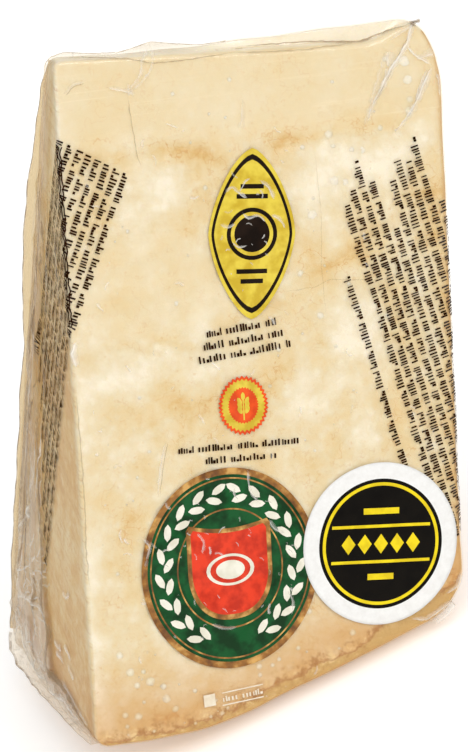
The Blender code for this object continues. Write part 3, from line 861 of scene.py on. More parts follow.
def film_place(across, up, depth=-1.0):
    """(Point, outward direction) on the plain wedge's printed face (depth -1) or back (depth 1):
    across is measured over the film from the left edge, so below 0 it is on the sliced end and
    past WIDTH on the plate."""
    radius = edge_radius(across, WHEEL_RADIUS - up)
    side = -1.0 if across < WIDTH / 2 else 1.0
    from_edge = across if side < 0 else WIDTH - across
    run = radius - from_edge
    turn = min(max(run / radius, 0.0), math.pi / 2)
    beyond = max(run - radius * math.pi / 2, 0.0)
    if side < 0:
        # The sliced end stops at its back edge and, lower down, at the rind.
        to_back = 2 * (WHEEL_RADIUS - up) * math.sin(HALF_ANGLE) - EDGE_RADIUS
        to_rind = math.sqrt(max(2 * WHEEL_RADIUS * up - up * up, 0.0)) - 0.0025
        beyond = max(min(beyond, to_back, to_rind), 0.0)
    inside = from_edge if turn == 0 else radius * (1 - math.sin(turn))
    x = inside if side < 0 else WIDTH - inside
    sunk = radius * (1 - math.cos(turn)) + beyond
    outward = face_outward(depth) * math.cos(turn) + Vector((side, 0.0, 0.0)) * math.sin(turn)
    return face_point(x, up, depth, -sunk), outward


def lay_print(mesh, lift, depth=-1.0):
    """Lays a flat drawing in millimetres, z counting its layers, on the film of one face."""
    for vert in mesh.verts:
        point, outward = film_place(0.001 * vert.co.x, 0.001 * vert.co.y, depth)
        point = PLACE @ point
        outward = TURN @ outward
        hit = film_tree.ray_cast(point + outward * 0.012, -outward)[0]
        vert.co = (hit or point) + outward * (lift + 0.001 * LAYER_STEP * vert.co.z)
    if depth > 0:
        bmesh.ops.reverse_faces(mesh, faces=mesh.faces[:])


def draw_shape(mesh, middle, outline_at, sides, shares, inks, layer=0, turn=0.0):
    """A filled shape about its middle in millimetres, as rings: shares are their outer edges from
    1 down, inks the material of each ring, and outline_at(angle) the reach of the outside."""
    before = len(mesh.verts)
    made = bmesh.ops.create_circle(mesh, segments=sides, radius=1.0, cap_ends=True)["verts"]
    disc = next(face for face in made[0].link_faces if len(face.verts) == sides)
    for outer, share, ink in zip(shares, shares[1:], inks):
        step = 0.5 * (outer - share)
        for face in bmesh.ops.inset_region(mesh, faces=[disc], thickness=step, use_boundary=True)["faces"]:
            face.material_index = ink
        for vert in disc.verts:
            vert.co = vert.co.normalized() * share
    for face in bmesh.ops.poke(mesh, faces=[disc])["faces"]:
        face.material_index = inks[-1]
    spin = Matrix.Rotation(turn, 3, "Z")
    for vert in mesh.verts[:][before:]:
        reach = vert.co.length * outline_at(math.atan2(vert.co.y, vert.co.x))
        vert.co = spin @ (vert.co.normalized() * reach) + Vector((*middle, layer))


def draw_line(mesh, points, width, ink, layer=0, step=1.5):
    """A line of even width through points in millimetres, in pieces no longer than step."""
    path = [Vector(point) for point in points]
    dense = []
    for start, end in zip(path, path[1:]):
        count = max(1, math.ceil((end - start).length / step))
        dense += [start.lerp(end, i / count) for i in range(count)]
    dense.append(path[-1])
    strip = bmesh.ops.create_grid(mesh, x_segments=len(dense) - 1, y_segments=1, size=1.0)["verts"]
    for vert in strip:
        at = round((vert.co.x + 1) / 2 * (len(dense) - 1))
        before, after = dense[max(at - 1, 0)], dense[min(at + 1, len(dense) - 1)]
        across = (after - before).normalized().orthogonal() * (width / 2)
        spot = dense[at] + (across if vert.co.y > 0 else -across)
        for face in vert.link_faces:
            face.material_index = ink
        vert.co = (spot.x, spot.y, layer)


def draw_bar(mesh, middle, half, angle, width, ink, layer):
    """A straight bar about its middle, half its length to each side, in millimetres."""
    reach = Matrix.Rotation(angle, 2) @ Vector((half, 0.0))
    draw_line(mesh, (middle - reach, middle + reach), width, ink, layer, step=1.2)


def draw_ticks(mesh, start, angle, length, height, seed, pitch):
    """A row of fine upright ticks from start, in uneven groups, in millimetres. A number that is
    stepped from seed picks each tick's height and width, and how long each group is."""
    along = Vector((math.cos(angle), math.sin(angle)))
    upward = Vector((-along.y, along.x))
    position, left, number = 0.0, 5 + seed % 7, seed
    while position < length:
        number = (number * 1103515245 + 12345) % 2147483648
        pick = number // 65536
        tall = height * (1.0 if pick % 4 == 0 else 0.72 if pick % 2 else 0.86)
        at, wide, share = 0.5, pitch * (0.66 if pick % 3 else 0.50), 1.0
        if pick % 5 == 1:
            at, wide, share = 0.25, pitch * 0.95, 0.5
        middle = Vector(start) + along * position + upward * (tall * at - height / 2)
        for vert in bmesh.ops.create_grid(mesh, x_segments=1, y_segments=1, size=0.5)["verts"]:
            spot = middle + along * (vert.co.x * wide) + upward * (vert.co.y * tall * share)
            vert.co = (spot.x, spot.y, 0.0)
        position += pitch * (0.9 + 0.5 * (pick % 5) / 4)
        left -= 1
        if left == 0:
            position += 1.3 * pitch
            left = 4 + (pick // 7) % 9


def ellipse(half_width, half_height):
    """The reach of an ellipse at each angle."""
    return lambda angle: 1 / math.hypot(math.cos(angle) / half_width, math.sin(angle) / half_height)


def blunt_lozenge(half_width, half_height, power):
    """The reach of a shape between a lozenge (power 1) and an ellipse (power 2) at each angle."""

    def reach(angle):
        across, along = abs(math.cos(angle)) / half_width, abs(math.sin(angle)) / half_height
        return (across**power + along**power) ** (-1 / power)

    return reach


def ink_material(name, colour, roughness, shade, gloss=0.25):
    """Glossy ink of one colour on the film, mottled by shade where it stretched as the film shrank."""
    made, tree = new_material(name)
    place = add(tree, "TexCoord")
    stretch = add(tree, "TexNoise", {"Vector": place.outputs["Object"], "Scale": 240.0, "Detail": 3.0})
    tone = add(tree, "ValToRGB", (stretch,), stops=((0.38, shade), (0.6, colour)))
    creased = add(tree, "TexNoise", {"Vector": place.outputs["Object"], "Scale": 190.0, "Detail": 2.0,
                                     "Roughness": 0.4}, noise_type="RIDGED_MULTIFRACTAL")
    bump = add(tree, "Bump", {"Height": creased, "Distance": 0.0003, "Strength": 0.5})
    shader = add(
        tree, "BsdfPrincipled", {"Base Color": tone, "Roughness": roughness, "Specular IOR Level": gloss,
                                 "Coat Weight": gloss, "Coat Roughness": 0.1, "Normal": bump,
                                 "Coat Normal": bump}
    )
    add(tree, "OutputMaterial", (shader,))
    return made


# The large patches are glossy ink; the small print is thin and nearly matt.
yellow_ink = ink_material("yellow flexo ink", "#dbc33f", 0.35, "#c3a420")
dark_ink = ink_material("dark brown flexo ink", "#1d0f05", 0.32, "#120802", gloss=0.07)
small_ink = ink_material("thin dark brown flexo ink", "#2f1605", 0.7, "#200e03", gloss=0.0)
BADGE = (54.7, 143.6)
BADGE_HALF = (12.9, 24.2)
BADGE_ANGLE = math.radians(-3.5)
YELLOW_PART, DARK_PART = range(2)
mesh = bmesh.new()
draw_shape(mesh, BADGE, blunt_lozenge(*BADGE_HALF, 1.5), 96,
           (1.0, 0.93, 0.865, 0.80, 0.70, 0.60, 0.50, 0.40, 0.30, 0.20, 0.10),
           (YELLOW_PART, DARK_PART, *[YELLOW_PART] * 9), turn=BADGE_ANGLE)
draw_shape(mesh, BADGE, ellipse(7.4, 7.4), 40, (1.0, 0.84, 0.70, 0.5, 0.3, 0.12),
           (DARK_PART, YELLOW_PART, *[DARK_PART] * 4), layer=1)
for side in (-1, 1):
    for row, half in ((10.6, 4.6), (13.4, 3.4)):
        middle = Vector(BADGE) + Matrix.Rotation(BADGE_ANGLE, 2) @ Vector((0.0, side * row))
        draw_bar(mesh, middle, half, BADGE_ANGLE, 1.3, DARK_PART, layer=1)
lay_print(mesh, PRINT_LIFT)
badge = keep("printed_badge", mesh, [yellow_ink, dark_ink])
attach(badge, "root")
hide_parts("sealed_wedge")


# ----------------------------------------
# Rows of small dark ticks on the film: two blocks that slant along the side edges and wrap round
# them, and centred rows under the badge and under the seal.
LEFT_SLANT = math.radians(-114.0)
LEFT_ROWS = 8
LEFT_ROWS_START, LEFT_ROWS_SHIFT, LEFT_ROWS_END = (0.7, 173.3), (18.1, -10.4), 42.0
FOLDED_SLOPE = 0.50
CRUSHED_LINES, CRUSHED_TOP, CRUSHED_LENGTH = 3, 172.0, 50
mesh = bmesh.new()
for row in range(LEFT_ROWS):
    share = row / (LEFT_ROWS - 1)
    start = (LEFT_ROWS_START[0] + LEFT_ROWS_SHIFT[0] * share, LEFT_ROWS_START[1] + LEFT_ROWS_SHIFT[1] * share)
    reach = (start[0] + LEFT_ROWS_END) / -math.cos(LEFT_SLANT)
    draw_ticks(mesh, start, LEFT_SLANT, reach, 2.1, 5 + row, 0.80)
for vert in mesh.verts:
    # The film turned as it shrank round the edge, so the rows lean more on the sliced end.
    vert.co.y += FOLDED_SLOPE * max(-vert.co.x, 0.0)
# The rows stop where the film leaves the cheese.
loose = [vert for vert in mesh.verts if -vert.co.x > from_table(GATHER_STARTS, vert.co.y) - 0.8]
bmesh.ops.delete(mesh, geom=loose, context="VERTS")
# Along the edge itself the film crumpled, and the crushed print is a few wavering dark lines.
for strand in range(CRUSHED_LINES):
    crushed = []
    for step in range(CRUSHED_LENGTH + 1):
        up = CRUSHED_TOP - step
        waver = 0.7 * noise.noise(Vector((0.45 * up, 2.0 * strand, 0.0)))
        crushed.append((0.5 * strand - 0.5 + waver, up))
    draw_line(mesh, crushed, 0.26, 0)
RIGHT_SLANT = math.radians(104.8)
# The rows on the right: offset sideways, and where each starts and ends along its slant.
ROWS = (
    (112.5, 18, 104), (118.7, 20, 124.5), (121.7, 20, 126.5), (124.8, 20, 134.5), (127.9, 20, 127.4),
    (131, 20, 112), (134.1, 20, 126.7), (137.2, 20, 130.3), (140.3, 20, 129.2), (143.4, 20, 135.4),
    (146.5, 20, 115),
)
side = Vector((math.cos(RIGHT_SLANT - math.pi / 2), math.sin(RIGHT_SLANT - math.pi / 2)))
along = Vector((math.cos(RIGHT_SLANT), math.sin(RIGHT_SLANT)))
for number, (offset, low, high) in enumerate(ROWS):
    draw_ticks(mesh, side * offset + along * low, RIGHT_SLANT, high - low, 2.3, 31 + number, 0.72)
# The centred rows: middle, slant, half the length of each row, height and gap.
for middle, angle, halves, height, gap in (
    ((50.6, 113.9), 5.0, (10.5, 11.8, 13.8), 2.1, 3.5), ((48.2, 82.0), -1.0, (18.6, 10.6), 1.9, 3.6),
):
    turn = math.radians(angle)
    for row, half in enumerate(halves):
        down = gap * ((len(halves) - 1) / 2 - row)
        centre = Vector(middle) + Vector((-math.sin(turn), math.cos(turn))) * down
        start = centre - Vector((math.cos(turn), math.sin(turn))) * half
        draw_ticks(mesh, start, turn, 2 * half, height, 50 + row, 0.84)
lay_print(mesh, PRINT_LIFT)
small_print = keep("printed_ticks", mesh, [small_ink], smooth=False)
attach(small_print, "root")
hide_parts("sealed_wedge")


# ----------------------------------------
# The small seal: an orange sunburst, a yellow ring, and an ear of grain in an orange middle. It is
# flexo ink on the film, printed flat like the badge and shrunk with it, the ear over the orange.
orange_ink = ink_material("orange flexo ink", "#e6541a", 0.34, "#cf4212", gloss=0.15)
SEAL = (49.4, 95.1)
SEAL_TEETH = 36
ORANGE_PART, RING_PART = range(2)
mesh = bmesh.new()
draw_shape(mesh, SEAL, lambda angle: ellipse(7.2, 8.2)(angle) * (1 + 0.045 * math.cos(SEAL_TEETH * angle)),
           4 * SEAL_TEETH, (1.0, 0.89, 0.78, 0.62, 0.4, 0.2),
           (ORANGE_PART, RING_PART, RING_PART, *[ORANGE_PART] * 3))
for leaf in range(7):
    side = 0 if leaf == 0 else -1 if leaf % 2 else 1
    height = 3.2 - 1.3 * ((leaf + 1) // 2)
    draw_shape(mesh, (SEAL[0] + 1.1 * side, SEAL[1] + height - 0.6), ellipse(0.62, 1.25), 10, (1.0,),
               (RING_PART,), layer=1, turn=-0.5 * side)
draw_line(mesh, ((SEAL[0], SEAL[1] - 4.2), (SEAL[0], SEAL[1] + 2.4)), 0.45, RING_PART, layer=1)
lay_print(mesh, PRINT_LIFT)
seal = keep("printed_seal", mesh, [orange_ink, yellow_ink])
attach(seal, "root")
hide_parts("sealed_wedge")


# ----------------------------------------
# The large emblem: a dark green oval in a gold rim, with two cream sprigs round a red shield. It is
# printed in four inks, the gold one with bronze powder in it, and the shield lies over the green.
green_ink = ink_material("green flexo ink", "#0e5024", 0.34, "#05300f", gloss=0.12)
red_ink = ink_material("red flexo ink", "#de3c1e", 0.34, "#b92a12", gloss=0.15)
cream_ink = ink_material("cream flexo ink", "#e6e2d2", 0.36, "#d6d1bd")
gold_ink, tree = new_material("gold bronze ink")
place = add(tree, "TexCoord")
# Bronze powder ink: brown gold whose pale patches over a 3 mm noise are painted flashes of
# light, with creases of the film in its bump.
painted_flash = add(tree, "TexNoise", {"Vector": place.outputs["Object"], "Scale": 300.0, "Detail": 3.0})
tone = add(tree, "ValToRGB", (painted_flash,), stops=((0.34, "#6b3f10"), (0.52, "#9c6724"), (0.68, "#d2a258")))
creased = add(
    tree, "TexNoise", {"Vector": place.outputs["Object"], "Scale": 230.0, "Detail": 2.0, "Roughness": 0.5},
    noise_type="RIDGED_MULTIFRACTAL"
)
bump = add(tree, "Bump", {"Height": creased, "Distance": 0.0004, "Strength": 0.8})
shader = add(
    tree, "BsdfPrincipled", {"Base Color": tone, "Metallic": 0.45, "Roughness": 0.36, "Coat Weight": 0.28,
                             "Coat Roughness": 0.12, "Normal": bump, "Coat Normal": bump}
)
add(tree, "OutputMaterial", (shader,))

EMBLEM = (42.8, 48.8)
EMBLEM_HALF = (26.4, 29.0)
GOLD, GREEN, RED, CREAM = range(4)
mesh = bmesh.new()
draw_shape(mesh, EMBLEM, ellipse(*EMBLEM_HALF), 144,
           (1.0, 0.965, 0.935, 0.905, 0.89, 0.84, 0.79, 0.74, 0.69, 0.64, 0.60, 0.585, 0.55, 0.5, 0.45, 0.4,
            0.34, 0.28, 0.22, 0.16, 0.10, 0.05),
           (GOLD, GOLD, GREEN, GOLD, *[GREEN] * 6, GOLD, *[GREEN] * 11))


def shield(half_width, half_height):
    """The reach of a shield: straight across the top, curved to a point below."""

    def reach(angle):
        low, high = 0.0, 3 * half_height
        for _ in range(30):
            middle = (low + high) / 2
            x, y = abs(middle * math.cos(angle)) / half_width, middle * math.sin(angle) / half_height
            edge = 1.0 if y > 0 else math.sqrt(max(1 - y * y, 0.0)) ** 0.8
            inside = x < edge and -1 < y < 0.86 + 0.14 * x * x
            low, high = (middle, high) if inside else (low, middle)
        return low

    return reach


draw_shape(mesh, (EMBLEM[0], EMBLEM[1] - 0.6), shield(12.6, 14.2), 72,
           (1.0, 0.90, 0.80, 0.70, 0.6, 0.5, 0.4, 0.3, 0.2, 0.1), (GOLD, *[RED] * 9), layer=1)
# The oval ring on the shield.
draw_shape(mesh, (EMBLEM[0], EMBLEM[1] - 0.4), ellipse(7.2, 4.6), 36, (1.0, 0.84, 0.6, 0.35),
           (CREAM, RED, CREAM, CREAM), layer=2)
# Each sprig has nine pairs of leaves, the inner ones tilted one way and the outer ones the other.
for side in (-1, 1):
    for leaf in range(9):
        for reach, ahead, tilt in ((0.70, 0, 0.45), (0.80, 6, -0.45)):
            angle = math.radians(-62 + 17.5 * leaf) + math.radians(ahead)
            centre = (EMBLEM[0] + side * EMBLEM_HALF[0] * reach * math.cos(angle),
                      EMBLEM[1] + EMBLEM_HALF[1] * reach * math.sin(angle))
            draw_shape(mesh, centre, ellipse(1.05, 2.5), 12, (1.0, 0.5), (CREAM, CREAM), layer=1,
                       turn=side * (angle + tilt))
lay_print(mesh, PRINT_LIFT)
emblem = keep("printed_emblem", mesh, [gold_ink, green_ink, red_ink, cream_ink])
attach(emblem, "root")
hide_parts("sealed_wedge")


# ----------------------------------------
# A small pale mark low on the film: a white square beside two lines with ticks between them,
# printed in one pale ink, close above the rind.
white_ink = ink_material("pale flexo ink", "#e9dfcc", 0.4, "#dccdb2")
mesh = bmesh.new()
draw_shape(mesh, (34.2, 11.3), lambda angle: 1.75 / max(abs(math.cos(angle)), abs(math.sin(angle))), 24,
           (1.0, 0.80, 0.5), (0, 0, 0), turn=math.radians(3.5))
for start, end in (((38.0, 12.9), (50.5, 13.9)), ((38.0, 9.3), (50.5, 10.3))):
    draw_line(mesh, (start, end), 0.35, 0, step=1.0)
draw_ticks(mesh, (38.4, 11.1), math.radians(4.5), 11.6, 1.6, 77, 0.8)
lay_print(mesh, PRINT_LIFT)
pale_mark = keep("pale_print", mesh, [white_ink])
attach(pale_mark, "root")
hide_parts("sealed_wedge")


# ----------------------------------------
# Creases of the film: where it was folded before it shrank it keeps low ridges. Their white is a
# painted highlight in broken stretches, where a ridge would catch the light, and beside sharp folds
# a thin brown line is the fold's edge with painted shade; broader brown bands are painted shade
# under the gathered film. They gather at the upper corners, on the tip and on the loose film of the
# sliced end.
painted_glint = film_line_material("film ridge with painted glint", "#fdfcfa", "#f3efe6", 0.25, (0.35, 0.60, 0.65, 1.0))
fold_line_and_painted_shade = film_line_material("shadow line beside a crease", "#fdfcfa", "#9a8262", 0.3,
                                 (0.35, 0.60, 1.0, 1.0))
PAINTED_GLINT_RIDGE, FOLD_AND_PAINTED_SHADE = range(2)


def smooth_path(points, step):
    """Points along a path in millimetres, rounded at its bends and no further apart than step."""
    path = [Vector(point) for point in points]
    dense = []
    ends = [path[0]] + path + [path[-1]]
    for before, start, end, after in zip(ends, ends[1:], ends[2:], ends[3:]):
        count = max(1, math.ceil((end - start).length / step))
        for share in (number / count for number in range(count)):
            leave, arrive = share - 2 * share * share + share**3, share**3 - share * share
            dense.append(start.lerp(end, share) + 0.4 * ((start - before) * leave + (after - end) * arrive))
    return dense + [path[-1]]


def pairs(numbers):
    """Points from a flat row of numbers."""
    return list(zip(numbers[::2], numbers[1::2]))


# How much wider a crease is drawn than its table says, so that its soft sides show.
WIDER = 1.25


def draw_crease(mesh, haze_and_light_layer, points, widths, height, haze, ink):
    """A ridge of film along a path in millimetres: a faint band with a bright core, fading at both
    ends; its white is a painted highlight, its brown a fold's edge with painted shade. Widths is one
    width, or those of its start and its end."""
    first_width, last_width = widths if isinstance(widths, tuple) else (widths, widths)
    first_width, last_width = WIDER * first_width, WIDER * last_width
    dense = smooth_path(points, 0.6)
    last = len(dense) - 1
    strip = bmesh.ops.create_grid(mesh, x_segments=last, y_segments=6, size=1.0)["verts"]
    for vert in strip:
        at = round((vert.co.x + 1) / 2 * last)
        side, share = vert.co.y, at / last
        before, after = dense[max(at - 1, 0)], dense[min(at + 1, last)]
        taper = min(1.0, 0.15 + 5.0 * share, 0.15 + 5.0 * (1 - share))
        spot = Vector((dense[at].x, dense[at].y, 0.0))
        half = (first_width + (last_width - first_width) * share) / 2 * taper
        half *= 1 + 0.6 * noise.noise(spot * 0.6)
        across = (after - before).normalized().orthogonal()
        waver = 0.22 * noise.noise(spot * 0.45 + Vector((5.0, 0.0, 0.0)))
        moved = dense[at] + across * (side * half + waver)
        for face in vert.link_faces:
            face.material_index = ink
        core = max(0.0, 1 - 3 * abs(side + 0.333)) if ink == PAINTED_GLINT_RIDGE else 1 - abs(side)
        vert[haze_and_light_layer] = haze * taper * (0.50 * (1 - abs(side)) ** 0.5 + 0.50 * core)
        vert.co = (moved.x, moved.y, 0.5 * height * (1 - abs(side)) * taper / LAYER_STEP)


# Each crease: the points of its path, its width or widths, for a bright one its height, and its
# haze: how strong its painted highlight is, on a dark one how strong its painted shade is.
GLINT_CREASES = (
    ((28.3, 199, 26.7, 196, 25.2, 194, 24.6, 190.6, 22.6, 187.7, 20.7, 186.1), (0.8, 1.4), 0.15, 0.5),
    ((28.3, 199, 28.5, 195.5, 27.3, 191.3, 24.9, 188.4, 21.1, 185.6), (0.7, 1.1), 0.15, 0.45),
    ((14.5, 187.4, 18, 186.7, 21.6, 185.6, 22.2, 184.4), (0.7, 1.5), 0.2, 0.65),
    ((20.9, 188.2, 21, 186, 20.7, 184.6), 1.2, 0.2, 0.6),
    ((8.8, 195.5, 8.2, 197.2, 6.6, 197.3, 5.7, 196.1), 0.7, 0.15, 0.45),
    ((108.4, 200.3, 106, 198.9, 104.9, 196.8, 104.1, 194, 102.5, 191.9, 100.8, 189.4, 98.7, 187, 97, 184.2,
      95.5, 181.4, 94.4, 179.8), (1.5, 2), 0.25, 0.85),
    ((96, 182.4, 93.8, 179.3, 92.7, 177.2, 91.4, 174.7, 90.9, 172.2), (1.6, 0.6), 0.15, 0.55),
    ((96.8, 191.9, 95.8, 187.9, 94.6, 184.4, 93.5, 181.5, 92.8, 178.6, 91.4, 175.1, 89.8, 170.8),
     (1.6, 2.6), 0.1, 0.33),
    ((103.9, 193.6, 105.2, 191.7, 107.5, 189.9, 109.4, 188.9, 111.3, 187.5), (0.7, 1.4), 0.2, 0.85),
    ((107.4, 189.9, 110.3, 190.8, 112.6, 191.3), (0.8, 3.6), 0.15, 0.55),
    ((111.7, 187.3, 110.4, 185.2, 109.1, 182.7, 107.4, 179.5, 105.6, 176.3, 103.5, 173.5, 101.5, 171.5,
      100.6, 170.4, 99.4, 169.4, 99.7, 168.3), (2.4, 1.1), 0.2, 0.75),
    ((110.1, 186.6, 108.6, 184.2, 107, 180.6, 105.7, 177), (0.8, 1.8), 0.15, 0.5),
    ((98.6, 192.3, 98.3, 190, 97.9, 187.6), (4.4, 1.2), 0.1, 0.6),
    ((97.6, 187.6, 97, 185.4, 96.2, 183), (1.8, 0.6), 0.1, 0.55),
    ((98.4, 195, 102.8, 198, 106.4, 199.6), (0.8, 2.2), 0.15, 0.45),
    ((112.6, 185.4, 113.3, 182.4, 113.3, 178), (1, 1.6), 0.15, 0.55),
    ((53.9, 181.5, 53.5, 177, 52.7, 172.6), 1.4, 0.1, 0.35),
    ((26, 87.6, 23.9, 80.1, 22.5, 71.9), 1, 0.12, 0.45),
    ((2.2, 186.5, 4.6, 188.6, 8.2, 189.6), 0.9, 0.12, 0.35),
    ((47.2, 155.6, 49.6, 157.2, 51.6, 155.4, 54.2, 153.6), 1, 0.12, 0.8),
    ((51.6, 155.4, 53.4, 158.3, 55.2, 159.4), 0.8, 0.12, 0.75),
    ((57.8, 158.6, 60.4, 156.4, 61.8, 152.6), 1, 0.12, 0.8),
    ((52, 149.8, 54, 148.2, 56.8, 148.6, 59.2, 146.4), 1, 0.12, 0.75),
    ((45.4, 147, 47.8, 146.2, 50.2, 146.8), 1, 0.1, 0.7),
    ((60.6, 148.6, 63.2, 147.2, 64.6, 144.2), 1, 0.12, 0.8),
    ((48.6, 141.8, 50.6, 140.2, 53.4, 140.4), 0.9, 0.1, 0.65),
    ((33.4, 60.2, 35.2, 57.4, 34.8, 54), 1, 0.12, 0.55),
    ((55.2, 61.6, 57, 58.6, 59.8, 57.2), 1, 0.12, 0.6),
    ((36, 33.5, 39.5, 31.8, 43.8, 31.4), 1, 0.12, 0.5),
    ((59.5, 40.5, 61.2, 36.5, 60.4, 33), 0.9, 0.12, 0.55),
    ((49.6, 76.8, 49.9, 71, 52.6, 66.5), 0.8, 0.12, 0.6),
    ((17.4, 60.6, 19.2, 57.5, 18, 53.8), 0.9, 0.12, 0.6),
    ((1.6, 118, 0.6, 114.6, 1.3, 110.6), 1.8, 0.15, 0.9),
    ((-52.2, 62.3, -48.4, 67.1, -44.4, 73.7, -41.7, 80.1, -41, 87.6), (2.6, 1.6), 0.2, 0.5),
    ((-51, 63.8, -53.6, 61, -50.4, 60, -49.8, 62.6), 2.4, 0.3, 0.95),
    ((-53, 61.6, -61.7, 56, -67, 51, -70.1, 47.2), (1.6, 2.4), 0.2, 0.7),
    ((-68.8, 48.8, -71.6, 46.4, -68.4, 45.8), 2.4, 0.3, 0.9),
    ((-84.8, 39.5, -77, 32.6, -66, 33.6, -59.3, 34, -45.3, 33.3, -42.9, 26.9), (3, 1.8), 0.25, 0.75),
    ((-84, 37.6, -83.2, 30, -80.2, 20.1, -78.3, 17, -73, 11.1, -68.5, 7.9), (2.6, 3.2), 0.25, 0.7),
    ((-72, 30, -70, 22, -64, 16, -56, 12.5, -47, 11.4), (1.6, 3), 0.25, 0.65),
    ((-66, 32, -61, 26, -60, 19), (1.4, 2.6), 0.25, 0.55),
    ((-58.8, 76.7, -62.6, 66.4, -70, 56, -78.9, 45.2), (2.4, 1.8), 0.2, 0.6),
    ((-43, 125.6, -46, 110.4, -50, 94.9, -54.2, 79.2), (1.8, 2.6), 0.15, 0.5),
    ((-38, 25.4, -33.7, 24.5, -29.4, 24.2), 2, 0.2, 0.7),
    ((-26.7, 26.2, -22.6, 25, -19.7, 23.2), 2.2, 0.2, 0.75),
    ((-36.5, 22.1, -31, 21.8, -28.1, 20.3), 2.2, 0.2, 0.7),
    ((-24, 21, -20, 18.8, -17, 18.2), 1.8, 0.2, 0.6),
    ((-25.1, 42.3, -20.9, 41.6, -16.2, 43.4), 1.8, 0.15, 0.6),
    ((-33, 14.8, -24, 12.6, -13, 9, -4, 6.8), (2, 1), 0.2, 0.55),
    ((-50, 9, -37.3, 9.3, -28.4, 9.5, -20.1, 7.8, -9.8, 6), (2.8, 1.2), 0.25, 0.7),
    ((-8.5, 150, -8, 132, -6, 118), 1.2, 0.15, 0.3),
    ((97, 27.5, 102, 27, 106, 29, 110, 31.5), (1, 1.8), 0.2, 0.7),
    ((104, 25, 108.5, 27.5, 112, 32.5), (1.2, 2), 0.2, 0.75),
    ((108, 33.5, 112, 35.5, 113.5, 40), (1, 1.6), 0.2, 0.6),
)
# The dark lines: the edges of sharp folds with painted shade beside them, and, the last two, broad bands of
# painted shade under the gathered film of the sliced end.
FOLD_AND_SHADE_LINES = (
    ((-37.4, 97, -39.1, 84.9, -42.7, 64.4, -43.4, 51.1, -44.7, 40.7, -45.1, 33.9, -41.8, 26.4, -44.9, 17,
      -42.1, 14.9, -28.9, 12.5, -10.9, 7.3, -1, 5.4), 1.4, 0.55),
    ((-49.9, 45.8, -51, 36.1, -53, 25.7, -57.3, 15.9), 1.6, 0.45),
    ((-56, 60, -60, 50, -62, 40), 1.6, 0.35),
    ((-24.5, 150.2, -29.9, 132.6, -34.3, 114.8, -37.6, 96.9), 1.2, 0.4),
    ((108.6, 200.5, 106.9, 199.9, 105.6, 199), 1.4, 0.65),
    ((20.4, 184.6, 20.8, 180.3, 21.4, 175.2, 22.3, 168.3, 23.2, 164.9), 0.3, 0.32),
    ((53, 196.2, 69, 196.4, 80.8, 196.1, 89, 195.5, 92.5, 196.1, 96.5, 197.3, 100.4, 198.5, 104.4, 199.4,
      106.8, 200.2), 0.3, 0.6),
    ((50.8, 194.7, 68.9, 194.2, 80.8, 194.7, 85.4, 194.9, 89, 195.4), 0.34, 0.3),
    ((2.2, 196.4, 15.2, 195.6, 23.9, 194.4, 28.3, 193.3, 39.4, 193.7, 53.8, 195.1), 0.32, 0.4),
    ((106.5, 199.2, 103.8, 195, 100.4, 189.6, 95, 180.4, 91.4, 176.6), 0.28, 0.4),
    ((110.8, 187, 107.2, 180.5, 104.2, 174.6, 101.2, 171.4), 0.28, 0.4),
    ((63, 126.4, 73, 127, 77.5, 128.6, 84, 128, 93.5, 127.4), 0.26, 0.1),
    ((26.6, 87.4, 24.5, 79.9, 23.1, 71.7), 0.22, 0.3),
    ((2.6, 186, 5, 188.1, 8.4, 189.1), 0.25, 0.3),
    ((74.4, 166, 75.4, 150, 75.2, 133, 75.6, 118), 0.26, 0.08),
    ((0.6, 103, 0.9, 83, 0.9, 70, 0.7, 58, 1, 47), 0.3, 0.26),
    ((-46, 108, -51, 80.2, -56.5, 64, -62, 50), 9, 0.22),
    ((-38, 140, -41.5, 118, -44.5, 98), 5, 0.22),
)
mesh = bmesh.new()
haze_and_light_layer = mesh.verts.layers.float.new("haze")
for row, widths, height, haze in GLINT_CREASES:
    draw_crease(mesh, haze_and_light_layer, pairs(row), widths, height, haze, PAINTED_GLINT_RIDGE)
for row, width, haze in FOLD_AND_SHADE_LINES:
    draw_crease(mesh, haze_and_light_layer, pairs(row), width, 0.05, 1.5 * haze, FOLD_AND_PAINTED_SHADE)


def behind(share, up):
    """The place across, in flat millimetres, of a point of the sliced end that lies at that height
    and that share of the way from the printed face to the back."""
    return -share * 2000 * (WHEEL_RADIUS - 0.001 * up) * math.sin(HALF_ANGLE)


# Short curved ridges with painted glints on the loose film at the foot of the sliced end.
FOOT_GLINTS, END_STREAKS = 110, 44
chance = random.Random(31)
for _ in range(FOOT_GLINTS):
    up = 6.0 + 46.0 * chance.random() ** 1.2
    start = Vector((behind(chance.uniform(0.60, 0.98), up), up))
    way = Vector((chance.uniform(1.5, 9.0), chance.gauss(0.0, 4.2)))
    bend = start + way / 2 + Vector((0.0, chance.uniform(-1.8, 1.8)))
    width, haze = chance.uniform(0.35, 0.8), chance.uniform(0.35, 1.0)
    draw_crease(mesh, haze_and_light_layer, (start, bend, start + way), width, 0.12, haze, PAINTED_GLINT_RIDGE)
# Small painted glints on creases of the stiffer printed patches of film.
for middle, half, count in ((BADGE, (9.0, 17.0), 12), (EMBLEM, (21.0, 24.0), 26)):
    for _ in range(count):
        angle, share = chance.uniform(0.0, 2 * math.pi), math.sqrt(chance.random())
        start = Vector((half[0] * share * math.cos(angle), half[1] * share * math.sin(angle)))
        start += Vector(middle)
        way = Matrix.Rotation(chance.gauss(-0.8, 0.7), 2) @ Vector((chance.uniform(0.7, 2.6), 0.0))
        if (start - LABEL_SPOT).length > 27:
            bend, width, haze = way.orthogonal() * 0.2, chance.uniform(0.3, 0.6), chance.uniform(0.4, 0.8)
            draw_crease(mesh, haze_and_light_layer, (start, start + way / 2 + bend, start + way), width, 0.08, haze,
                        PAINTED_GLINT_RIDGE)
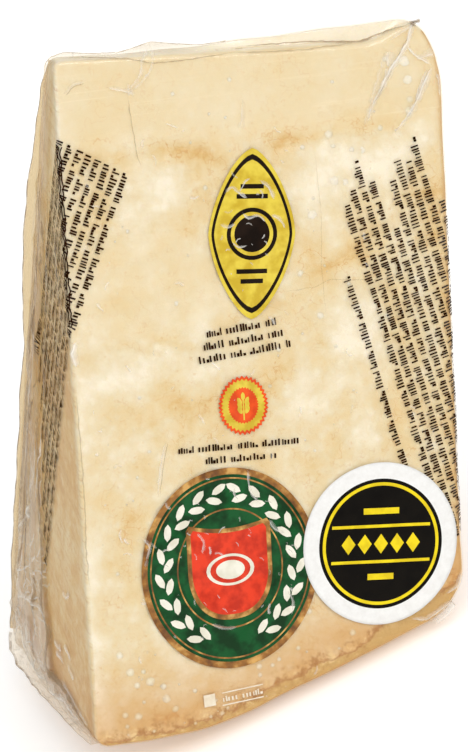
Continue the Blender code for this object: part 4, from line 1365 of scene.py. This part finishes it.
# Long fine streaks down the gathered film on the sliced end, painted highlights and painted
# shade in turn.
for number in range(END_STREAKS):
    share, low = chance.uniform(0.58, 0.97), chance.uniform(14.0, 140.0)
    high = low + chance.uniform(10.0, 34.0)
    streak = [(behind(share + chance.uniform(-0.02, 0.02), up), up) for up in (low, (low + high) / 2, high)]
    width, haze = chance.uniform(0.30, 0.55), chance.uniform(0.45, 0.95)
    draw_crease(mesh, haze_and_light_layer, streak, width, 0.10, haze, FOLD_AND_PAINTED_SHADE if number % 2 else PAINTED_GLINT_RIDGE)
lay_print(mesh, CREASE_LIFT)
creases = keep("film_creases_with_painted_light", mesh, [painted_glint, fold_line_and_painted_shade])
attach(creases, "root")
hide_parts("sealed_wedge")


# ----------------------------------------
# Small wrinkles that the shrinking left between the lumps: low ridges with painted glints, bright
# lines of up to 4 mm over the printed face, and of up to 11 mm on the plain back.
def draw_glinting_wrinkles(mesh, count, longest, seed):
    """Short creases with painted glints over one face, clear of the label, away from its edges."""
    haze_and_light_layer = mesh.verts.layers.float.new("haze")
    chance = random.Random(seed)
    for _ in range(count):
        middle = Vector((chance.uniform(5, 110), chance.uniform(16, 182)))
        turn = Matrix.Rotation(chance.gauss(-0.9, 0.6), 2)
        way = turn @ Vector((chance.uniform(0.3, 1.0) ** 2 * longest / 2, 0.0))
        bend = way.orthogonal() * chance.uniform(-0.5, 0.5)
        width, haze = chance.uniform(0.45, 0.95), chance.uniform(0.30, 0.80)
        if (middle - LABEL_SPOT).length > 28:
            draw_crease(mesh, haze_and_light_layer, (middle - way, middle + bend, middle + way), width, 0.08, haze,
                        PAINTED_GLINT_RIDGE)


WRINKLE_SEED = 7
for name, depth, count, longest in (("front_wrinkles_with_painted_glints", -1.0, 110, 4.0), ("back_wrinkles_with_painted_glints", 1.0, 170, 11.0)):
    mesh = bmesh.new()
    draw_glinting_wrinkles(mesh, count, longest, WRINKLE_SEED)
    lay_print(mesh, CREASE_LIFT, depth)
    glinting_wrinkles = keep(name, mesh, [painted_glint])
    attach(glinting_wrinkles, "root")
    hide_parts("sealed_wedge")


# ----------------------------------------
# The paper label: a white disc stuck on the film after packing, with a black field, a yellow ring
# and plain yellow diamonds between two bars.
# Half matt white paper, mottled faint grey as painted shade of its small wrinkles, a little wavy
# over the lumps under it.
label_white, tree = new_material("white label paper")
place = add(tree, "TexCoord")
painted_wrinkle_shade = add(
    tree, "TexNoise", {"Vector": place.outputs["Object"], "Scale": 420.0, "Detail": 5.0, "Roughness": 0.7}
)
tone = add(tree, "ValToRGB", (painted_wrinkle_shade,), stops=((0.3, "#dddbd7"), (0.65, "#e8e7e4")))
waviness = add(tree, "TexNoise", {"Vector": place.outputs["Object"], "Scale": 120.0, "Detail": 2.0})
bump = add(tree, "Bump", {"Height": waviness, "Distance": 0.0006, "Strength": 0.5})
shader = add(tree, "BsdfPrincipled", {"Base Color": tone, "Roughness": 0.5, "Normal": bump})
add(tree, "OutputMaterial", (shader,))
label_black = ink_material("black label ink", "#0e0a05", 0.42, "#090603", gloss=0.05)
label_yellow = ink_material("yellow label ink", "#e8cf0f", 0.42, "#d6bb08", gloss=0.15)
WHITE, BLACK, YELLOW = range(3)
mesh = bmesh.new()
draw_shape(mesh, LABEL_SPOT, ellipse(1000 * LABEL_RADIUS, 1000 * LABEL_RADIUS), 120,
           (1.0, 0.95, 0.90, 0.85, 0.80, 0.755, 0.715, 0.66, 0.60, 0.54, 0.48, 0.42, 0.36, 0.30, 0.24, 0.18,
            0.12, 0.06), (*[WHITE] * 4, BLACK, YELLOW, *[BLACK] * 12))
lay_print(mesh, LABEL_LIFT)
label = keep("paper_label", mesh, [label_white, label_black, label_yellow])
paper = label.modifiers.new("paper", "SOLIDIFY")
paper.thickness = 0.00016
paper.offset = -1.0
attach(label, "root")
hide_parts("round_label")

LABEL_TILT = math.radians(-4.0)
tilt = Matrix.Rotation(LABEL_TILT, 2)
mesh = bmesh.new()
for side in (-1, 1):
    draw_bar(mesh, LABEL_SPOT + tilt @ Vector((0.0, side * 5.2)), 15.2, LABEL_TILT, 0.9, 0, layer=0)
for across in (-10, -5, 0, 5, 10):
    draw_shape(mesh, LABEL_SPOT + tilt @ Vector((across, 0.0)), blunt_lozenge(2.9 / 1.35, 2.9, 1.0), 16,
               (1.0, 0.5), (0, 0), turn=LABEL_TILT)
for side, half in ((1, 5.5), (-1, 4.0)):
    draw_bar(mesh, LABEL_SPOT + tilt @ Vector((0.0, side * 9.6)), half, LABEL_TILT, 1.8, 0, layer=0)
lay_print(mesh, LABEL_PRINT_LIFT)
motifs = keep("label_motifs", mesh, [label_yellow])
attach(motifs, "root")
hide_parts("round_label")
